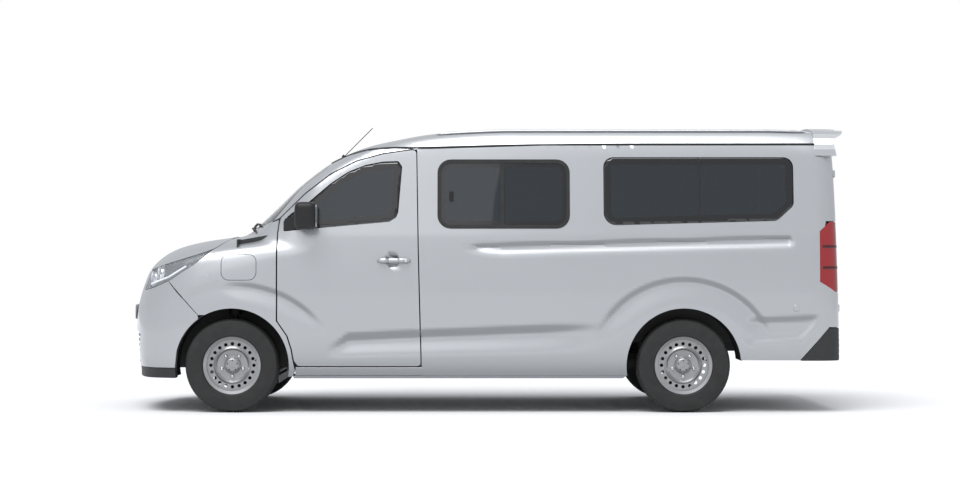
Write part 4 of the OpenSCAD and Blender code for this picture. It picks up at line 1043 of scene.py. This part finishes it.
# Small round and oval fittings of the side
sideDots = {"Marker": (frontX - .173, .971, .026, .016, clearLens),
            "Sensor": (rearX + .796, .743, .024, .024, silver)}
for name, (x, z, wide, high, finish) in sideDots.items():
    sided(name, circle(32) * [wide, high] + [x, z], finish=finish, slot="paint", step=.012,
          wall=.008, inset=-.004, rim=.002)

# Rear doors: hinges on their outer edges, a handle, a dark panel with a blank plate
tailFittings = {"hingeY": .742, "hinges": (.74, 1.70), "handle": (.075, 1.02),
                "plate": (-.15, .78), "frontPlate": (0, .700)}
for way, side in (("left", -1), ("right", 1)):
    for level in tailFittings["hinges"]:
        at = onTail(np.array([[side * tailFittings["hingeY"], level]]))[0]
        superShell(f"{way}Hinge{int(level * 100)}", at + [-.004, 0, 0], [.016, .040, .028], .4,
                   silver, way + "_rear_door", 16, 24)
plateLoop = roundCorners([[-.30, .700], [-.012, .700], [-.012, .860], [-.30, .860]], .012)
bothTails("PlatePanel", plateLoop, black, "black_plastic", step=.03, wall=.008, inset=-.002)
handleAt = onTail(np.array([tailFittings["handle"]]))[0]
superShell("rearHandle", handleAt, [.018, .055, .022], .4, black, "right_rear_door",
           16, 24)
blankPlate = onTail(np.array([tailFittings["plate"]]))[0]
superShell("rearPlate", blankPlate + [.006, 0, 0], [.004, .125, .055], .2, whitePlate,
           "left_rear_door", 14, 24)
frontPlate = onNose(np.array([tailFittings["frontPlate"]]))[0]
superShell("frontPlate", frontPlate + [.004, 0, 0], [.004, .230, .055], .2, whitePlate,
           "root", 14, 24)


# Tyre: a profile turned about the axle, whose tread is pressed in by round ribs and slanted slots
tyre = {"lugs": 72, "groove": .007, "ribs": (-.055, -.019, .019, .055), "ribWidth": .005,
        "treadHalf": .088, "steps": 504}


def treadDepth(across, angle):  # how deep the tread is cut at a place across and round the tyre
    depth = np.zeros_like(angle)
    for rib in tyre["ribs"]:
        depth = np.maximum(depth, smooth(-np.abs(across - rib), -tyre["ribWidth"],
                                         -tyre["ribWidth"] * .6))
    slant = angle * tyre["lugs"] / (2 * np.pi) + across * 26
    slot = smooth(-np.abs(slant % 1 - .5), -.12, -.07)
    return np.maximum(depth, slot * (np.abs(across) > .024)) * tyre["groove"] \
        * smooth(-np.abs(across), -.092, -.086)


def makeTyre(node):
    low, high = (np.array(corner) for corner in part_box(node))
    middle, radius, half = (low + high) / 2, (high[2] - low[2]) / 2, (high[1] - low[1]) / 2
    reach = tyre["treadHalf"]
    across = np.linspace(-reach, reach, 72)
    drop = .004 * (across / reach) ** 2 + .007 * smooth(np.abs(across), .070, reach)
    tread = np.stack([radius - drop, across], 1)
    wall = np.array([[radius - .016, .0945], [radius - .030, .0985], [radius - .034, .0975],
                     [radius - .038, .0995], [radius - .060, half - .0008],
                     [radius - .085, half - .0004], [radius - .100, .0995], [.224, .0965],
                     [.2215, .0975], [.216, .0955], [.208, .090], [.2055, .082]])
    profile = np.concatenate([wall[::-1] * [1, -1], tread, wall, [[.222, .076], [.222, -.076]]])
    count = tyre["steps"]
    angle = np.linspace(0, 2 * np.pi, count, endpoint=False)
    r = np.broadcast_to(profile[:, :1], (len(profile), count))
    y = np.broadcast_to(profile[:, 1:], (len(profile), count))
    isTread = r > radius - .014
    r = r - np.where(isTread, treadDepth(y, np.broadcast_to(angle, r.shape)), 0)
    verts = np.stack([middle[0] + r * np.cos(angle), middle[1] + y, middle[2] + r * np.sin(angle)],
                     -1).reshape(-1, 3)
    faces = np.array(gridFaces(len(profile) + 1, count, True, False)) % len(verts)
    return newMesh(node.replace("_tyre", "_tread"), verts, faces, tyreRubber,
                   nodes[node]["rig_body"])


# Fittings on the wheel's disc: five nuts, a cap with five dimples between them, and the valve,
# each a profile of (radius, height)
wheel = {
    "disc": .0355, "nutCircle": .080, "dimpleCircle": .036, "valveAt": [.165, 0, .035],
    "nut": [[.001, .020], [.0075, .019], [.0105, .015], [.0115, .004], [.016, .002],
            [.016, -.004], [.001, -.004]],
    "cap": [[.001, .024], [.020, .024], [.026, .0225], [.030, .024], [.042, .022],
            [.049, .018], [.0525, .012], [.0525, .004], [.001, .004]],
    "dimple": [[.001, .0248], [.0045, .0246], [.005, .0220], [.001, .0220]],
    "valve": [[.001, .030], [.004, .030], [.0045, .014], [.006, 0], [.001, 0]]}


def ringOf(name, profile, disc, reach, first, out, finish, body, sides):  # five round the middle
    for number in range(5):
        turn = np.radians(first + 72 * number)
        at = disc + reach * np.array([np.cos(turn), 0, np.sin(turn)])
        turned(f"{name}{number}", profile, at, out, finish, body, sides)


for end in ("front", "rear"):
    for way, side in (("left", -1), ("right", 1)):
        node = f"{end}_{way}_tyre"
        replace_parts(makeTyre(node), node)
        low, high = (np.array(corner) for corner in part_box(f"{end}_{way}_rim"))
        disc = (low + high) / 2
        disc[1] = side * (wheelY + wheel["disc"])
        out, body, own = [0, side, 0], f"{end}_{way}_wheel", end + way.title()
        ringOf(own + "Nut", wheel["nut"], disc, wheel["nutCircle"], -90, out, chrome, body, 6)
        turned(own + "Cap", wheel["cap"], disc, out, wheelSilver, body, 60)
        ringOf(own + "Dimple", wheel["dimple"], disc, wheel["dimpleCircle"], -54, out, glossBlack,
               body, 16)
        turned(own + "Valve", wheel["valve"], disc + wheel["valveAt"], out, rubber, body,
               12)
print("wheels made")


# Cushions: a cube's grid clipped to an inner box and pushed out by a radius, its face bulged by
# the product of one minus each square, with two stitched grooves
pad = {"radius": .045, "crown": .016, "groove": .006, "grid": 20, "lean": np.radians(15),
       "seatHigh": .16, "seatTop": .85}


def seatPad(name, points, tilt, upright):
    turn = np.array([[np.cos(tilt), 0, np.sin(tilt)], [0, 1, 0], [-np.sin(tilt), 0, np.cos(tilt)]])
    local = points @ turn  # in the plane of the back
    low, high = local.min(0), local.max(0)
    size, middle = (high - low) / 2, (high + low) / 2
    count = pad["grid"]
    t = np.linspace(-1, 1, count)
    u, v = (g.ravel() for g in np.meshgrid(t, t, indexing="ij"))
    sheets = []
    for axis in range(3):
        for way in (-1, 1):
            sheet = np.zeros((count * count, 3))
            sheet[:, axis], sheet[:, axis - 2], sheet[:, axis - 1] = way, u * way, v
            sheets.append(sheet)
    cube = np.concatenate(sheets)
    faces = np.concatenate([np.array(gridFaces(count, count, False)) + k * count * count
                            for k in range(6)])
    radius = min(pad["radius"], *(size * .8))
    inner = np.clip(cube * size, radius - size, size - radius)
    away = cube * size - inner
    place = inner + away / np.maximum(np.linalg.norm(away, axis=1)[:, None], 1e-9) * radius
    axis, way, other = (0, -1, 2) if upright else (2, 1, 0)
    isFace = cube[:, axis] * way > .9
    bulge = (1 - cube[:, 1] ** 2) * (1 - cube[:, other] ** 2) * pad["crown"] - pad["crown"]
    stitched = smooth(-np.abs(np.abs(cube[:, 1]) - .55), -.07, -.02) * pad["groove"]
    place[:, axis] += np.where(isFace, bulge - stitched, 0) * way
    piece = newMesh(name, (place + middle) @ turn.T, faces, fabric, "root")
    fixNormals(piece)
    return piece


# The separate solids of a CAD piece, as sets of points
def islands(name):
    piece = nodes[name]
    points = np.array([piece.matrix_world @ v.co for v in piece.data.vertices])
    places, same = np.unique(points.round(4), axis=0, return_inverse=True)
    ends = same.ravel()[np.array([e.vertices for e in piece.data.edges])]
    label = np.arange(len(places))
    for _ in range(200):
        lowest = np.minimum(label[ends[:, 0]], label[ends[:, 1]])
        before = label.copy()
        np.minimum.at(label, ends[:, 0], lowest)
        np.minimum.at(label, ends[:, 1], lowest)
        if (before == label).all():
            break
    return [places[label == key] for key in np.unique(label)]


for number, points in enumerate(islands("seat_cushions")):
    low, high = points.min(0), points.max(0)
    isSeat = high[2] - low[2] < pad["seatHigh"] and low[2] < pad["seatTop"]
    piece = seatPad(f"seatPad{number}", points, 0 if isSeat else pad["lean"], not isSeat)
    if number == 0:
        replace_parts(piece, "seat_cushions")

# Belts from the pillars down to the outer side of each row of seats, as flat bands
belt = {"rows": (frontX + 1.30, frontX + 2.285, rearX + .20), "half": .022, "flat": .08,
        "line": [[0, .795, 1.688], [-.05, .790, 1.45], [-.11, .780, 1.10], [-.13, .775, .80]]}
for row, x in enumerate(belt["rows"]):
    for way, side in (("left", -1), ("right", 1)):
        path = softened((np.array(belt["line"]) + [x, 0, 0]) * [1, side, 1], 3)
        tube(f"{way}Belt{row}", path, belt["half"], piping, "root", 8,
             belt["flat"], (1, 0, 0))
print("seats made")


# Which new piece stands for which CAD node
stands = {
    "leftDoorSkin": "left_front_door", "rightDoorSkin": "right_front_door",
    "leftWing": "left_front_wing", "rightWing": "right_front_wing",
    "chargeFlap": "charge_flap", "leftSide": "left_side_panel", "rightSide": "right_side_panel",
    "roofSkin": "roof_panel", "bonnetSkin": "bonnet", "leftTailDoor": "left_rear_door",
    "rightTailDoor": "right_rear_door", "leftTailGlass": "left_rear_door_glass",
    "rightTailGlass": "right_rear_door_glass", "leftTailLens": "tail_lights",
    "rearBumper": "rear_bumper", "frontBumper": "front_bumper", "screen": "windscreen",
    "cowlSkin": "cowl",
    "leftWindowOne": "side_glass", "leftDoorGlass": "left_front_door_glass",
    "rightDoorGlass": "right_front_door_glass", "leftLampLens": "headlights",
    "lowerGrille": "bumper_grille", "slidingSkin": "sliding_door",
}
for name, node in stands.items():
    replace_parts(bpy.data.objects[name], node)

nodeFinishes = {
    floorSteel: ["floor_pan", "bulkhead", "rear_wheel_housings"],
    chassisSteel: ["chassis_rails", "front_subframe", "rear_axle", "seat_frames"],
    castAlloy: ["drive_unit", "left_knuckle", "right_knuckle"],
    packAlloy: ["battery_pack"],
    wheelSilver: [end + side + "_rim" for end in ("front_", "rear_") for side in ("left", "right")],
    tyreRubber: [end + side + "_tyre" for end in ("front_", "rear_") for side in ("left", "right")],
    silver: ["roof_spoiler"],
    fabric: ["seat_cushions"],
    cabinGrey: ["dashboard", "steering_wheel"],
    black: ["antenna", "charging_inlet"],
}
for finish, names in nodeFinishes.items():
    for name in names:
        for place in nodes[name].material_slots:
            place.material = finish


# Stage: a pale floor, a white surround, a soft sun and three panels of light
stage = {"floor": 60, "sky": (.93, .96, 1, 1), "skyPower": .58, "sun": 2.1, "sunSize": .7,
         "sunWay": (.20, .42, -1)}
corners = np.array([[-1, -1, 0], [1, -1, 0], [1, 1, 0], [-1, 1, 0]]) * stage["floor"]
floor = newMesh("floor", corners, [[0, 1, 2, 3]],
                Finish("paleFloor", Roughness=.9, Base_Color=(.92, .92, .93, 1)).made)
world = bpy.data.worlds.new("studio")
bpy.context.scene.world = world
world.use_nodes = True
sky = world.node_tree
behind = sky.nodes.new("ShaderNodeBackground")  # what shows behind the vehicle, plain white
behind.inputs["Color"].default_value = (1, 1, 1, 1)
sky.nodes["Background"].inputs["Color"].default_value = stage["sky"]
sky.nodes["Background"].inputs["Strength"].default_value = stage["skyPower"]
choice = sky.nodes.new("ShaderNodeMixShader")
rays = sky.nodes.new("ShaderNodeLightPath")
sky.links.new(rays.outputs["Is Camera Ray"], choice.inputs[0])
sky.links.new(sky.nodes["Background"].outputs[0], choice.inputs[1])
sky.links.new(behind.outputs[0], choice.inputs[2])
sky.links.new(choice.outputs[0], sky.nodes["World Output"].inputs["Surface"])
sun = bpy.data.objects.new("sun", bpy.data.lights.new("sun", "SUN"))
sun.data.energy, sun.data.angle = stage["sun"], stage["sunSize"]
sun.rotation_euler = Vector(stage["sunWay"]).to_track_quat("-Z", "Y").to_euler()
bpy.context.scene.collection.objects.link(sun)

panelLights = {  # place, target, size, power
    "overhead": ((.8, -1.5, 6.5), (.4, 0, 1), (9, 5), 25),
    "frontSide": ((-3, -9, 5), (.2, 0, .9), (7, 4), 50),
    "rearFill": ((6, 6, 5), (.6, 0, 1), (6, 4), 40)}
for name, (place, target, size, power) in panelLights.items():
    lamp = bpy.data.lights.new(name, "AREA")
    lamp.shape, lamp.size, lamp.size_y, lamp.energy = "RECTANGLE", *size, power
    made = bpy.data.objects.new(name, lamp)
    bpy.context.scene.collection.objects.link(made)
    made.location = place
    made.rotation_euler = (Vector(target) - Vector(place)).to_track_quat("-Z", "Y").to_euler()

view = {"lens": 79.2, "shift": (.0103, .0192), "place": (frontX + 1.693, -15.9, 1.095)}
lens = bpy.data.cameras.new("camera")
lens.lens, lens.sensor_width = view["lens"], 36
lens.shift_x, lens.shift_y = view["shift"]
lens.clip_end = 200
camera = bpy.data.objects.new("camera", lens)
camera.location = view["place"]
camera.rotation_euler = (np.pi / 2, 0, 0)
bpy.context.scene.collection.objects.link(camera)
bpy.context.scene.camera = camera
bpy.context.scene.view_settings.view_transform = "Standard"
print("stage ready")
